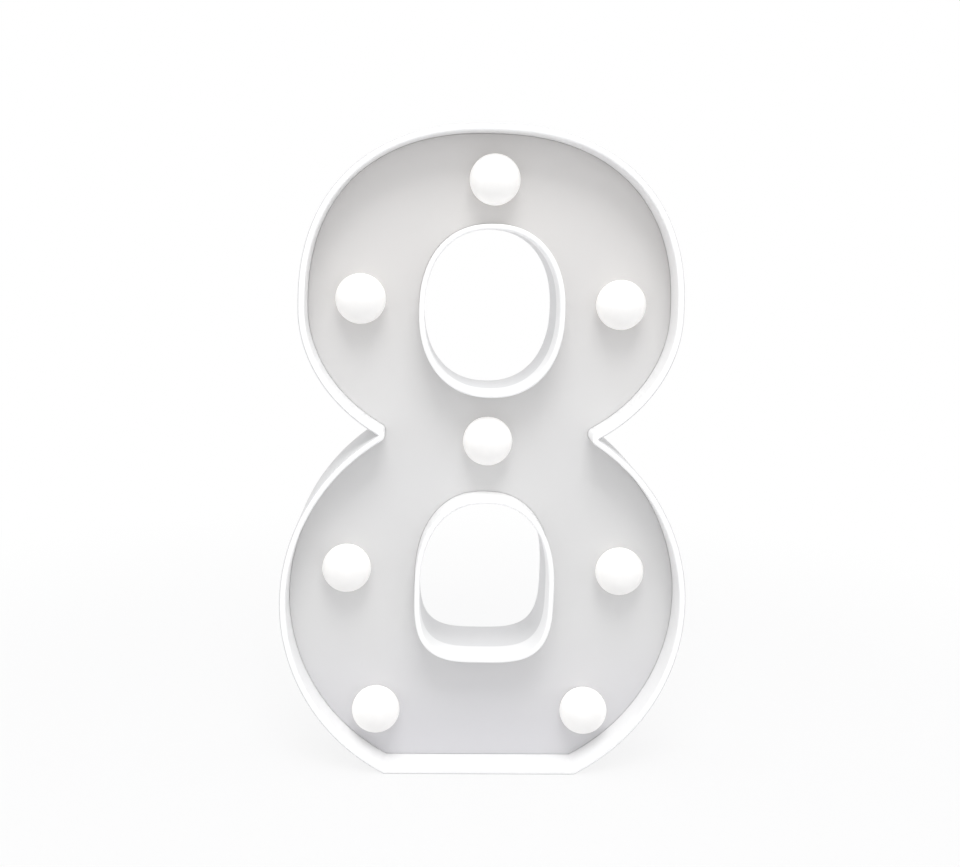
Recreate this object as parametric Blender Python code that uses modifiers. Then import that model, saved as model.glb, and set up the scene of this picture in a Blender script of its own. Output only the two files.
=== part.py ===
"""Light-up marquee number: a hollow plastic numeral eight that stands or hangs, with eight bulbs.

The front shell carries the rim, the recessed face and the two counters. A screwed back panel holds the
battery tray, the slide switch and the keyholes. X runs to the right seen from the front, Y to the back
and Z up. The origin is in the middle of the flat foot.
"""

import math
from dataclasses import dataclass

import bmesh
import bpy
from mathutils import Matrix, Vector

MM = 0.001

# Clearances shared by all pieces
GAP = 0.3 * MM
OVERRUN = 1.0 * MM
EMBED = 0.5 * MM

# Numeral outline: a round lower bowl on a flat foot, and an oval upper bowl that runs into it
LOWER_RADIUS = 69.1 * MM
FOOT_HALF_WIDTH = 33.2 * MM
BOWL_OVERLAP = 20.0 * MM
UPPER_HALF_WIDTH = 62.9 * MM
UPPER_CROWN_RISE = 59.6 * MM
UPPER_ROOT_DROP = 50.7 * MM
CROWN_POWER = 2.33
ROUND_POWER = 2.0

# Strokes of the numeral, from its outer edge to the channel side of the counters' walls
CROWN_STROKE = 31.25 * MM
UPPER_SIDE_STROKE = 39.1 * MM
WAIST_STROKE = 33.9 * MM
WAIST_DROP = 3.7 * MM
LOWER_SIDE_STROKE = 45.4 * MM
FOOT_STROKE = 40.85 * MM
UPPER_COUNTER_POWER = 2.25
UPPER_COUNTER_DROP_SHARE = 0.5
LOWER_COUNTER_TOP_POWER = 2.3
LOWER_COUNTER_FOOT_POWER = 3.36
LOWER_COUNTER_DROP_SHARE = 0.447

# Walls of the front shell
WALL = 2.2 * MM
COUNTER_WALL = 1.8 * MM
LIP_ROUND = 0.65 * MM
FACE_RECESS = 11.7 * MM
FACE_THICKNESS = 1.8 * MM

# Battery compartment
CELL_DIAMETER = 14.5 * MM
CELL_LENGTH = 50.5 * MM
CELL_PLAY = 0.4 * MM
CELL_NUB_DIAMETER = 5.5 * MM
CELL_NUB_LENGTH = 1.2 * MM
CELL_EDGE_ROUND = 0.5 * MM
TRAY_FLOOR = 1.2 * MM
TRAY_WALL = 1.6 * MM
DOOR_THICKNESS = 1.9 * MM
DOOR_LEDGE = 1.0 * MM
DOOR_CORNER = 1.6 * MM
DOOR_GROOVE_WIDTH = 1.0 * MM
DOOR_GROOVE_DEPTH = 0.5 * MM
DOOR_GROOVE_PITCH = 2.2 * MM
DOOR_GROOVE_LENGTH = 12.0 * MM
DOOR_GROOVES = 3
HOOK_WIDTH = 5.0 * MM
HOOK_THICKNESS = 1.0 * MM
HOOK_REACH = 1.1 * MM
HOOK_DROP = 0.8 * MM
HOOK_SPREAD_SHARE = 0.55
LATCH_WIDTH = 9.0 * MM
LATCH_SLOT = 0.8 * MM
LATCH_LENGTH = 6.0 * MM
SCOOP_DIAMETER = 14.0 * MM
SCOOP_DEPTH = 1.2 * MM
SCOOP_RISE = 1.8 * MM

# Battery contacts
CONTACT_THICKNESS = 0.5 * MM
CONTACT_SIDE = 11.0 * MM
CONTACT_TAB_WIDTH = 3.0 * MM
CONTACT_TAB_LENGTH = 4.2 * MM
SPRING_WIRE = 0.7 * MM
SPRING_LENGTH = 4.2 * MM
SPRING_FOOT_RADIUS = 4.6 * MM
SPRING_TOP_RADIUS = 2.4 * MM
SPRING_TURNS = 3
SPRING_TURN_POINTS = 10

# Back panel
PANEL_THICKNESS = 2.0 * MM
KEYHOLE_SPREAD = 14.0 * MM
KEYHOLE_RADIUS = 4.0 * MM
KEYHOLE_SLOT_WIDTH = 4.2 * MM
KEYHOLE_SLOT_LENGTH = 7.0 * MM
KEYHOLE_HEIGHT_SHARE = 0.3
RIB_THICKNESS = 1.2 * MM
RIB_HEIGHT = 2.0 * MM

# Screws and their bosses
SCREW_HEAD_RADIUS = 2.3 * MM
SCREW_HEAD_HEIGHT = 1.5 * MM
SCREW_SHANK_RADIUS = 1.1 * MM
SCREW_LENGTH = 9.0 * MM
SCREW_POINT = 1.2 * MM
SCREW_SINK = 0.4 * MM
SCREW_HEAD_ROUND = 0.5 * MM
SCREW_CROSS_LENGTH = 2.6 * MM
SCREW_CROSS_WIDTH = 0.6 * MM
SCREW_CROSS_DEPTH = 0.9 * MM
BOSS_WALL = 1.6 * MM
SCREW_PAD_FLOOR = 1.2 * MM
SCREW_PAD_WALL = 1.0 * MM
BOSS_SHARE = 0.75
UPPER_SCREW_ANGLES = (52.0, -25.0)
LOWER_SCREW_ANGLES = (40.0, -8.0)

# Bulb caps
BULB_RADIUS = 8.25 * MM
BULB_HEIGHT = 11.0 * MM
BULB_EQUATOR = 4.9 * MM
BULB_FOOT_RADIUS = 6.9 * MM
BULB_WALL = 1.1 * MM
BULB_NECK_RADIUS = 4.5 * MM
BULB_NECK_BORE = 3.2 * MM
BULB_BARB = 0.7 * MM
BULB_BARB_LENGTH = 1.6 * MM
BULB_CHEEK_SPREAD_SHARE = 0.75
BULB_CHEEK_HEIGHT_SHARE = 0.4
TOP_BULB_SHARE = 0.487
WAIST_BULB_SHARE = 0.541
UPPER_BULB_SHARE = 0.52
LOWER_BULB_SHARE = 0.537
FOOT_BULB_SHARE = 0.486
UPPER_BULB_LIFT = 3.1 * MM
LOWER_BULB_LIFT = 11.4 * MM
FOOT_BULB_MARGIN = 0.85 * MM

# Light-emitting diodes
LED_RADIUS = 2.5 * MM
LED_LENGTH = 7.0 * MM
LED_FLANGE_RADIUS = 2.9 * MM
LED_FLANGE_THICKNESS = 1.0 * MM
LED_LEG = 0.5 * MM
LED_LEG_LENGTH = 3.0 * MM
LED_LEG_PITCH = 2.54 * MM

# Wiring
WIRE_RADIUS = 0.6 * MM
WIRE_STEP = 9.0 * MM
WIRE_INNER_SHARE = 0.4
WIRE_WAIST_SHARE = 0.74
LEAD_IN_BEND_SHARES = (0.5, 0.6, 1.2)
BATTERY_LEAD_BEND_SHARES = (0.4, 0.6, 0.9)
RESISTOR_RADIUS = 1.1 * MM
RESISTOR_LENGTH = 5.0 * MM
RESISTOR_LEAD_RADIUS = 0.3 * MM
RESISTOR_LEAD_LENGTH = 3.0 * MM

# Slide switch
SWITCH_HEIGHT = 31.0 * MM
SWITCH_SPREAD_SHARE = 0.424
SWITCH_LENGTH = 8.6 * MM
SWITCH_WIDTH = 4.4 * MM
SWITCH_DEPTH = 3.5 * MM
SWITCH_CASE = 0.5 * MM
SWITCH_TRAVEL = 2.5 * MM
SWITCH_PIN = 0.6 * MM
SWITCH_PIN_LENGTH = 2.0 * MM
SWITCH_PIN_PITCH = 2.5 * MM
SWITCH_PINS = 3
SLIDER_LENGTH = 4.0 * MM
SLIDER_THICKNESS = 1.2 * MM
KNOB_LENGTH = 2.6 * MM
KNOB_WIDTH = 2.4 * MM
KNOB_SINK = 0.3 * MM
POCKET_WALL = 1.0 * MM
POCKET_DEPTH = 3.0 * MM

# Facets
BOWL_STEP_DEGREES = 5.0
COUNTER_SIDES = 32
NOTCH_STEPS = 4
LIP_SEGMENTS = 2
BULB_SIDES = 16
BULB_DOME_STEPS = 4
HOLE_SIDES = 16
BOSS_SIDES = 10
SMALL_SIDES = 8
CELL_SIDES = 24
CORNER_STEPS = 3

# Places worked out from the sizes above
LOWER_CENTRE_HEIGHT = math.sqrt(LOWER_RADIUS**2 - FOOT_HALF_WIDTH**2)
UPPER_CENTRE_HEIGHT = LOWER_CENTRE_HEIGHT + LOWER_RADIUS - BOWL_OVERLAP + UPPER_ROOT_DROP
DEPTH = FACE_RECESS + FACE_THICKNESS + TRAY_FLOOR + CELL_DIAMETER + DOOR_THICKNESS + 3 * GAP
FRONT = -DEPTH / 2
REAR = DEPTH / 2
FACE_FRONT = FRONT + FACE_RECESS
FACE_BACK = FACE_FRONT + FACE_THICKNESS
PANEL_FRONT = REAR - PANEL_THICKNESS
CELL_RADIUS = CELL_DIAMETER / 2
TRAY_FRONT = FACE_BACK + GAP
TRAY_INSIDE = TRAY_FRONT + TRAY_FLOOR
CELL_AXIS_DEPTH = TRAY_INSIDE + GAP + CELL_RADIUS
DOOR_FRONT = REAR - DOOR_THICKNESS
LEDGE_DEPTH = DOOR_FRONT - GAP
TRAY_HALF_LENGTH = (CELL_LENGTH + SPRING_LENGTH) / 2 + CONTACT_THICKNESS + 2 * GAP
TRAY_HALF_HEIGHT = CELL_DIAMETER + 1.5 * CELL_PLAY
FOOT_BULB_SPREAD = TRAY_HALF_LENGTH + TRAY_WALL + GAP + BULB_NECK_RADIUS + BULB_BARB + FOOT_BULB_MARGIN
SWITCH_WALL = math.sqrt(LOWER_RADIUS**2 - (SWITCH_HEIGHT - LOWER_CENTRE_HEIGHT) ** 2) - WALL
SWITCH_SPREAD = FOOT_BULB_SPREAD + (SWITCH_WALL - FOOT_BULB_SPREAD) * SWITCH_SPREAD_SHARE
SCREW_PAD_FRONT = REAR - SCREW_SINK - SCREW_HEAD_HEIGHT - GAP - SCREW_PAD_FLOOR
WIRE_DEPTH = FACE_BACK + BULB_BARB_LENGTH + LED_FLANGE_THICKNESS + LED_LEG_LENGTH + 3 * GAP + WIRE_RADIUS


@dataclass(frozen=True)
class Oval:
    """A rounded closed shape on the middle line, with its own squareness above and below its centre."""

    centre_height: float
    half_width: float
    rise: float
    drop: float
    rise_power: float
    drop_power: float

    def point(self, angle):
        """The point of the edge that lies at this angle from the centre."""
        across = math.cos(angle)
        up = math.sin(angle)
        reach = self.rise if up > 0 else self.drop
        power = self.rise_power if up > 0 else self.drop_power
        total = abs(across / self.half_width) ** power + abs(up / reach) ** power
        radius = total ** (-1 / power)
        return (radius * across, self.centre_height + radius * up)

    def outline(self, sides):
        """The whole edge, anticlockwise."""
        return [self.point(math.tau * side / sides) for side in range(sides)]

    @property
    def top(self):
        """Height of the highest point."""
        return self.centre_height + self.rise

    @property
    def bottom(self):
        """Height of the lowest point."""
        return self.centre_height - self.drop


UPPER_BOWL = Oval(
    UPPER_CENTRE_HEIGHT, UPPER_HALF_WIDTH, UPPER_CROWN_RISE, UPPER_ROOT_DROP, CROWN_POWER, ROUND_POWER
)
LOWER_BOWL = Oval(
    LOWER_CENTRE_HEIGHT, LOWER_RADIUS, LOWER_RADIUS, LOWER_RADIUS, ROUND_POWER, ROUND_POWER
)


def mix(low, high, share):
    """The value that lies this share of the way from low to high."""
    return low + (high - low) * share


def notch_angles():
    """Angles, on the lower and the upper bowl, of the corner where the two bowls meet."""
    low = -math.pi / 2
    high = 0.0
    for _ in range(60):
        angle = (low + high) / 2
        across, height = UPPER_BOWL.point(angle)
        if math.hypot(across, height - LOWER_CENTRE_HEIGHT) < LOWER_RADIUS:
            low = angle
        else:
            high = angle
    return math.atan2(height - LOWER_CENTRE_HEIGHT, across), angle


def counter_between(bottom, top, half_width, drop_share, rise_power, drop_power):
    """A counter from its lowest and highest points, widest at this share of the way up."""
    drop = (top - bottom) * drop_share
    return Oval(bottom + drop, half_width, top - bottom - drop, drop, rise_power, drop_power)


NOTCH_ACROSS, NOTCH_HEIGHT = UPPER_BOWL.point(notch_angles()[1])
WAIST_HEIGHT = NOTCH_HEIGHT - WAIST_DROP
UPPER_COUNTER = counter_between(
    WAIST_HEIGHT + WAIST_STROKE / 2,
    UPPER_BOWL.top - CROWN_STROKE,
    UPPER_HALF_WIDTH - UPPER_SIDE_STROKE,
    UPPER_COUNTER_DROP_SHARE,
    UPPER_COUNTER_POWER,
    UPPER_COUNTER_POWER,
)
LOWER_COUNTER = counter_between(
    FOOT_STROKE,
    WAIST_HEIGHT - WAIST_STROKE / 2,
    LOWER_RADIUS - LOWER_SIDE_STROKE,
    LOWER_COUNTER_DROP_SHARE,
    LOWER_COUNTER_TOP_POWER,
    LOWER_COUNTER_FOOT_POWER,
)


# Outlines

def steps_between(start, end):
    """Angles from start to end, both included, at about the bowl step."""
    count = max(2, round(abs(end - start) / math.radians(BOWL_STEP_DEGREES)))
    return [mix(start, end, step / count) for step in range(count + 1)]


def number_outline():
    """The numeral's outer edge, anticlockwise from the right end of the flat foot."""
    lower_notch, upper_notch = notch_angles()
    foot = -math.asin(LOWER_CENTRE_HEIGHT / LOWER_RADIUS)
    right = [LOWER_BOWL.point(angle) for angle in steps_between(foot, lower_notch)]
    right += [UPPER_BOWL.point(angle) for angle in steps_between(upper_notch, math.pi / 2)[1:]]
    left = [(-across, height) for across, height in reversed(right[:-1])]
    return right + left


def inset_outline(points, distance):
    """The closed outline moved inwards, with an arc round each corner that points inwards."""
    moved = []
    for index, corner in enumerate(points):
        here = Vector(corner)
        before = (here - Vector(points[index - 1])).normalized()
        after = (Vector(points[(index + 1) % len(points)]) - here).normalized()
        normal_before = Vector((-before.y, before.x))
        normal_after = Vector((-after.y, after.x))
        turn = math.atan2(before.cross(after), before.dot(after))
        if turn < -math.radians(3 * BOWL_STEP_DEGREES):
            for step in range(NOTCH_STEPS + 1):
                arm = Matrix.Rotation(turn * step / NOTCH_STEPS, 2) @ normal_before
                moved.append(tuple(here + distance * arm))
        else:
            bisector = (normal_before + normal_after).normalized()
            moved.append(tuple(here + bisector * (distance / bisector.dot(normal_before))))
    return moved


def rounded_rectangle(centre, half_width, half_height, corner):
    """A rectangle with round corners, anticlockwise."""
    points = []
    for quarter, (side, end) in enumerate(((1, 1), (-1, 1), (-1, -1), (1, -1))):
        for step in range(CORNER_STEPS + 1):
            angle = math.pi / 2 * (quarter + step / CORNER_STEPS)
            across = centre[0] + side * (half_width - corner) + corner * math.cos(angle)
            up = centre[1] + end * (half_height - corner) + corner * math.sin(angle)
            points.append((across, up))
    return points


def channel_place(bowl, counter, degrees, share, margin=WALL):
    """A place between a counter and the wall round it, at this angle and share of the way out."""
    angle = math.radians(degrees)
    near = Vector(counter.point(angle))
    far = Vector(bowl.point(angle))
    far -= (far - Vector((0, bowl.centre_height))).normalized() * margin
    return tuple(near.lerp(far, share))


def both_sides(place):
    """The place and its mirror image, right first."""
    return [place, (-place[0], place[1])]


# Places of what repeats

def bulb_places():
    """Name and place of each bulb on the face."""
    upper_spread = mix(UPPER_COUNTER.half_width, UPPER_HALF_WIDTH - WALL, UPPER_BULB_SHARE)
    lower_spread = mix(LOWER_COUNTER.half_width, LOWER_RADIUS - WALL, LOWER_BULB_SHARE)
    upper_height = UPPER_CENTRE_HEIGHT + UPPER_BULB_LIFT
    lower_height = LOWER_CENTRE_HEIGHT + LOWER_BULB_LIFT
    foot_height = mix(WALL, LOWER_COUNTER.bottom, FOOT_BULB_SHARE)
    return {
        "top": (0.0, mix(UPPER_COUNTER.top, UPPER_BOWL.top - WALL, TOP_BULB_SHARE)),
        "upper_right": (upper_spread, upper_height),
        "upper_left": (-upper_spread, upper_height),
        "waist": (0.0, mix(LOWER_COUNTER.top, UPPER_COUNTER.bottom, WAIST_BULB_SHARE)),
        "lower_right": (lower_spread, lower_height),
        "lower_left": (-lower_spread, lower_height),
        "foot_right": (FOOT_BULB_SPREAD, foot_height),
        "foot_left": (-FOOT_BULB_SPREAD, foot_height),
    }


def screw_places():
    """Name and place of each back screw."""
    places = {}
    for bowl, counter, part, angles in (
        (UPPER_BOWL, UPPER_COUNTER, "upper", UPPER_SCREW_ANGLES),
        (LOWER_BOWL, LOWER_COUNTER, "lower", LOWER_SCREW_ANGLES),
    ):
        for level, degrees in zip(("high", "low"), angles):
            place = channel_place(bowl, counter, degrees, BOSS_SHARE)
            for side, spot in zip(("right", "left"), both_sides(place)):
                places[f"{part}_{level}_{side}"] = spot
    return places


def string_route():
    """The line of the light string: through all bulbs, and by the passes round the counters."""
    bulbs = bulb_places()
    shoulder = channel_place(UPPER_BOWL, UPPER_COUNTER, UPPER_SCREW_ANGLES[0], WIRE_INNER_SHARE)
    waist_pass = (NOTCH_ACROSS * WIRE_WAIST_SHARE, NOTCH_HEIGHT)
    hip = channel_place(UPPER_BOWL, UPPER_COUNTER, -math.degrees(math.pi / 4), WIRE_INNER_SHARE)
    return [
        bulbs["foot_right"],
        bulbs["lower_right"],
        waist_pass,
        bulbs["upper_right"],
        shoulder,
        bulbs["top"],
        (-shoulder[0], shoulder[1]),
        bulbs["upper_left"],
        (-hip[0], hip[1]),
        bulbs["waist"],
        bulbs["lower_left"],
        bulbs["foot_left"],
    ]


def tray_middle():
    """Height of the battery tray's middle line, halfway between the foot and the lower counter."""
    return mix(WALL, LOWER_COUNTER.bottom, 0.5)


# Blender helpers

def collection_named(name):
    """A new collection of the scene."""
    collection = bpy.data.collections.new(name)
    bpy.context.scene.collection.children.link(collection)
    return collection


def clear_scene():
    """Removes every object of the startup scene."""
    for leftover in list(bpy.data.objects):
        bpy.data.objects.remove(leftover)


clear_scene()
PARTS = collection_named("marquee_number")
CUTTERS = collection_named("marquee_number_cutters")


def material_named(name, colour, roughness, metallic=0.0, transmission=0.0):
    """A plain Principled material."""
    material = bpy.data.materials.new(name)
    material.use_nodes = True
    shader = material.node_tree.nodes["Principled BSDF"]
    shader.inputs["Base Color"].default_value = (*colour, 1.0)
    shader.inputs["Roughness"].default_value = roughness
    shader.inputs["Metallic"].default_value = metallic
    shader.inputs["Transmission Weight"].default_value = transmission
    return material


def finish(piece, material, smooth_degrees=None):
    """Gives a piece its own copy of a material, and smooth shading where it is round."""
    own = material.copy()
    own.name = f"{piece.name}_finish"
    piece.data.materials.clear()
    piece.data.materials.append(own)
    if smooth_degrees is not None and piece.type == "MESH":
        piece.data.shade_smooth()
        piece.data.set_sharp_from_angle(angle=math.radians(smooth_degrees))
    return piece


def mesh_object(name, mesh, collection=PARTS):
    """An object that shows the mesh."""
    made = bpy.data.objects.new(name, mesh)
    collection.objects.link(made)
    if collection is CUTTERS:
        made.hide_render = True
        made.display_type = "WIRE"
    return made


def evaluated_mesh(source):
    """A plain mesh of the object with its modifiers applied, closed and with its faces outwards."""
    bpy.context.view_layer.update()
    graph = bpy.context.evaluated_depsgraph_get()
    mesh = bpy.data.meshes.new_from_object(source.evaluated_get(graph))
    body = bmesh.new()
    body.from_mesh(mesh)
    bmesh.ops.remove_doubles(body, verts=body.verts, dist=MM / 1000)
    bmesh.ops.recalc_face_normals(body, faces=body.faces)
    body.to_mesh(mesh)
    body.free()
    return mesh


def baked(piece):
    """The piece with its modifiers applied."""
    mesh = evaluated_mesh(piece)
    piece.modifiers.clear()
    piece.data = mesh
    return piece


def flat_solid(name, outlines, front, back, collection=PARTS):
    """A solid cut from flat outlines, from one depth to the other. Outlines inside others are holes."""
    drawing = bpy.data.curves.new(f"{name}_drawing", "CURVE")
    drawing.dimensions = "2D"
    drawing.fill_mode = "BOTH"
    drawing.extrude = (back - front) / 2
    for outline in outlines:
        spline = drawing.splines.new("POLY")
        spline.points.add(len(outline) - 1)
        for point, (across, up) in zip(spline.points, outline):
            point.co = (across, up, 0, 1)
        spline.use_cyclic_u = True
    guide = bpy.data.objects.new(f"{name}_guide", drawing)
    PARTS.objects.link(guide)
    guide.rotation_euler.x = math.pi / 2
    guide.location.y = (front + back) / 2
    solid = mesh_object(name, evaluated_mesh(guide), collection)
    solid.matrix_world = guide.matrix_world.copy()
    bpy.data.objects.remove(guide)
    bpy.data.curves.remove(drawing)
    return solid


def box_mesh(name, boxes):
    """One mesh of separate boxes, each given by its middle and its three sides."""
    body = bmesh.new()
    for middle, sides in boxes:
        place = Matrix.Translation(middle) @ Matrix.Diagonal((*sides, 1))
        bmesh.ops.create_cube(body, size=1, matrix=place)
    mesh = bpy.data.meshes.new(name)
    body.to_mesh(mesh)
    body.free()
    return mesh


def round_mesh(name, places, radius, front, back, sides=HOLE_SIDES):
    """One mesh of separate round bars that run from one depth to the other, one at each place."""
    body = bmesh.new()
    for across, up in places:
        middle = Vector((across, (front + back) / 2, up))
        place = Matrix.Translation(middle) @ Matrix.Rotation(math.pi / 2, 4, "X")
        bmesh.ops.create_cone(
            body,
            cap_ends=True,
            segments=sides,
            radius1=radius,
            radius2=radius,
            depth=back - front,
            matrix=place,
        )
    mesh = bpy.data.meshes.new(name)
    body.to_mesh(mesh)
    body.free()
    return mesh


def combine(piece, other, operation):
    """Adds a Boolean of the piece with another solid."""
    modifier = piece.modifiers.new(other.name, "BOOLEAN")
    modifier.operation = operation
    modifier.solver = "EXACT"
    modifier.object = other
    return modifier


def cut(piece, mesh):
    """Cuts a mesh out of the piece."""
    combine(piece, mesh_object(f"{mesh.name}_cutter", mesh, CUTTERS), "DIFFERENCE")


def join(piece, mesh):
    """Joins a mesh that overlaps the piece to it."""
    combine(piece, mesh_object(f"{mesh.name}_addition", mesh, CUTTERS), "UNION")


def turned(name, profile, sides, collection=PARTS):
    """A turned solid round its own Z axis, from a profile that runs down its outer side."""
    body = bmesh.new()
    verts = [body.verts.new((radius, 0, height)) for radius, height in profile]
    for upper, lower in zip(verts, verts[1:]):
        body.edges.new((upper, lower))
    mesh = bpy.data.meshes.new(name)
    body.to_mesh(mesh)
    body.free()
    solid = mesh_object(name, mesh, collection)
    screw = solid.modifiers.new("turn", "SCREW")
    screw.axis = "Z"
    screw.steps = sides
    screw.render_steps = sides
    screw.use_merge_vertices = True
    screw.merge_threshold = MM / 1000
    screw.use_smooth_shade = False
    return baked(solid)


def tube(name, points, radius, roundness=1):
    """A round wire through the points."""
    line = bpy.data.curves.new(name, "CURVE")
    line.dimensions = "3D"
    line.bevel_depth = radius
    line.bevel_resolution = roundness
    line.use_fill_caps = True
    spline = line.splines.new("POLY")
    spline.points.add(len(points) - 1)
    for point, place in zip(spline.points, points):
        point.co = (*place, 1)
    wire = bpy.data.objects.new(name, line)
    PARTS.objects.link(wire)
    return wire


def smooth_line(knots, step):
    """Points at about even steps on a smooth curve through the knots."""
    ends = [knots[0] * 2 - knots[1], *knots, knots[-1] * 2 - knots[-2]]
    points = [knots[0]]
    for before, start, end, after in zip(ends, ends[1:], ends[2:], ends[3:]):
        pieces = max(1, round((end - start).length / step))
        for index in range(1, pieces + 1):
            share = index / pieces
            points.append(
                (
                    start * 2
                    + (end - before) * share
                    + (before * 2 - start * 5 + end * 4 - after) * share**2
                    + (start * 3 - before - end * 3 + after) * share**3
                )
                / 2
            )
    return points


# Front shell

def lip_edges(shell):
    """Marks the edges of the front lip, so that a Bevel rounds only them."""
    body = bmesh.new()
    body.from_mesh(shell.data)
    weight = body.edges.layers.float.new("bevel_weight_edge")
    for edge in body.edges:
        on_lip = all(abs((shell.matrix_world @ vert.co).y - FRONT) < GAP / 10 for vert in edge.verts)
        if on_lip and edge.calc_face_angle(0) > math.pi / 4:
            edge[weight] = 1
    body.to_mesh(shell.data)
    body.free()


def make_front_shell():
    """The moulded front: outer wall, counter walls, recessed face, bulb holes and screw bosses."""
    outline = number_outline()
    inside = inset_outline(outline, WALL)
    counters = [UPPER_COUNTER.outline(COUNTER_SIDES), LOWER_COUNTER.outline(COUNTER_SIDES)]
    holes = [inset_outline(counter, COUNTER_WALL) for counter in counters]
    shell = flat_solid("front_shell", [outline, *holes], FRONT, REAR)
    for name, front, back in (
        ("front_channel", FRONT - OVERRUN, FACE_FRONT),
        ("rear_channel", FACE_BACK, REAR + OVERRUN),
    ):
        channel = flat_solid(name, [inside, *counters], front, back, CUTTERS)
        combine(shell, channel, "DIFFERENCE")
    baked(shell)
    lip_edges(shell)
    rounding = shell.modifiers.new("lip", "BEVEL")
    rounding.limit_method = "WEIGHT"
    rounding.width = LIP_ROUND
    rounding.segments = LIP_SEGMENTS
    baked(shell)
    screws = screw_places().values()
    boss_radius = SCREW_SHANK_RADIUS + GAP + BOSS_WALL
    boss_back = SCREW_PAD_FRONT - GAP
    join(shell, round_mesh("bosses", screws, boss_radius, FACE_BACK - EMBED, boss_back, BOSS_SIDES))
    pilot = SCREW_SHANK_RADIUS + GAP
    cut(shell, round_mesh("pilots", screws, pilot, FACE_BACK, boss_back + OVERRUN, SMALL_SIDES))
    bulb_hole = BULB_NECK_RADIUS + GAP
    bulbs = bulb_places().values()
    cut(shell, round_mesh("bulb_holes", bulbs, bulb_hole, FACE_FRONT - OVERRUN, FACE_BACK + OVERRUN))
    return finish(baked(shell), WHITE_PLASTIC, 40)


# Back panel with the battery tray

def keyhole_outline(across, height):
    """A round hole with a narrower slot above it, anticlockwise."""
    half_slot = KEYHOLE_SLOT_WIDTH / 2
    opening = math.asin(half_slot / KEYHOLE_RADIUS)
    points = []
    for step in range(HOLE_SIDES + 1):
        angle = mix(math.pi / 2 + opening, math.tau + math.pi / 2 - opening, step / HOLE_SIDES)
        rim = (KEYHOLE_RADIUS * math.cos(angle), KEYHOLE_RADIUS * math.sin(angle))
        points.append((across + rim[0], height + rim[1]))
    for step in range(2 * CORNER_STEPS + 1):
        angle = math.pi * step / (2 * CORNER_STEPS)
        top = height + KEYHOLE_SLOT_LENGTH
        points.append((across + half_slot * math.cos(angle), top + half_slot * math.sin(angle)))
    return points


def keyhole_height():
    """Height of the keyholes' round ends, between the upper counter and the crown."""
    return mix(UPPER_COUNTER.top, UPPER_BOWL.top - WALL, KEYHOLE_HEIGHT_SHARE)


def hook_places():
    """How far the door's two hooks stand from the middle, right first."""
    spread = TRAY_HALF_LENGTH * HOOK_SPREAD_SHARE
    return (spread, -spread)


def cut_door_seat(panel):
    """Cuts the tray's hollow, the door's ledge, the hook slots, the contact slits and the finger scoop."""
    middle = tray_middle()
    bottom = middle - TRAY_HALF_HEIGHT
    hollow = rounded_rectangle((0, middle), TRAY_HALF_LENGTH, TRAY_HALF_HEIGHT, DOOR_LEDGE)
    seat = rounded_rectangle(
        (0, middle), TRAY_HALF_LENGTH + DOOR_LEDGE, TRAY_HALF_HEIGHT + DOOR_LEDGE, DOOR_CORNER
    )
    back = REAR + OVERRUN
    combine(panel, flat_solid("tray_hollow", [hollow], TRAY_INSIDE, back, CUTTERS), "DIFFERENCE")
    combine(panel, flat_solid("door_seat", [seat], LEDGE_DEPTH, back, CUTTERS), "DIFFERENCE")
    hook_back = LEDGE_DEPTH - HOOK_DROP + 2 * GAP
    hook_front = hook_back - HOOK_THICKNESS - 3 * GAP
    slots = [
        (
            (spread, (hook_front + hook_back) / 2, bottom - TRAY_WALL / 2),
            (HOOK_WIDTH + 2 * GAP, hook_back - hook_front, TRAY_WALL + 2 * OVERRUN),
        )
        for spread in hook_places()
    ]
    cut(panel, box_mesh("hook_slots", slots))
    slits = [
        (
            (TRAY_HALF_LENGTH + TRAY_WALL / 2, CELL_AXIS_DEPTH, height),
            (TRAY_WALL + 2 * OVERRUN, CONTACT_THICKNESS + 2 * GAP, CONTACT_TAB_WIDTH + 2 * GAP),
        )
        for height in cell_heights()
    ]
    cut(panel, box_mesh("contact_slits", slits))
    scoop_radius = SCOOP_DIAMETER / 2
    scoop = [(0, middle + TRAY_HALF_HEIGHT + DOOR_LEDGE + SCOOP_RISE - scoop_radius)]
    cut(panel, round_mesh("finger_scoop", scoop, scoop_radius, REAR - SCOOP_DEPTH, back, 2 * HOLE_SIDES))


def switch_window(overlap):
    """Middle and sides of the window that the switch knob slides in."""
    sides = (KNOB_WIDTH + 2 * GAP, PANEL_THICKNESS + 2 * overlap, KNOB_LENGTH + SWITCH_TRAVEL + 2 * GAP)
    return (SWITCH_SPREAD, REAR - PANEL_THICKNESS / 2, SWITCH_HEIGHT), sides


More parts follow.
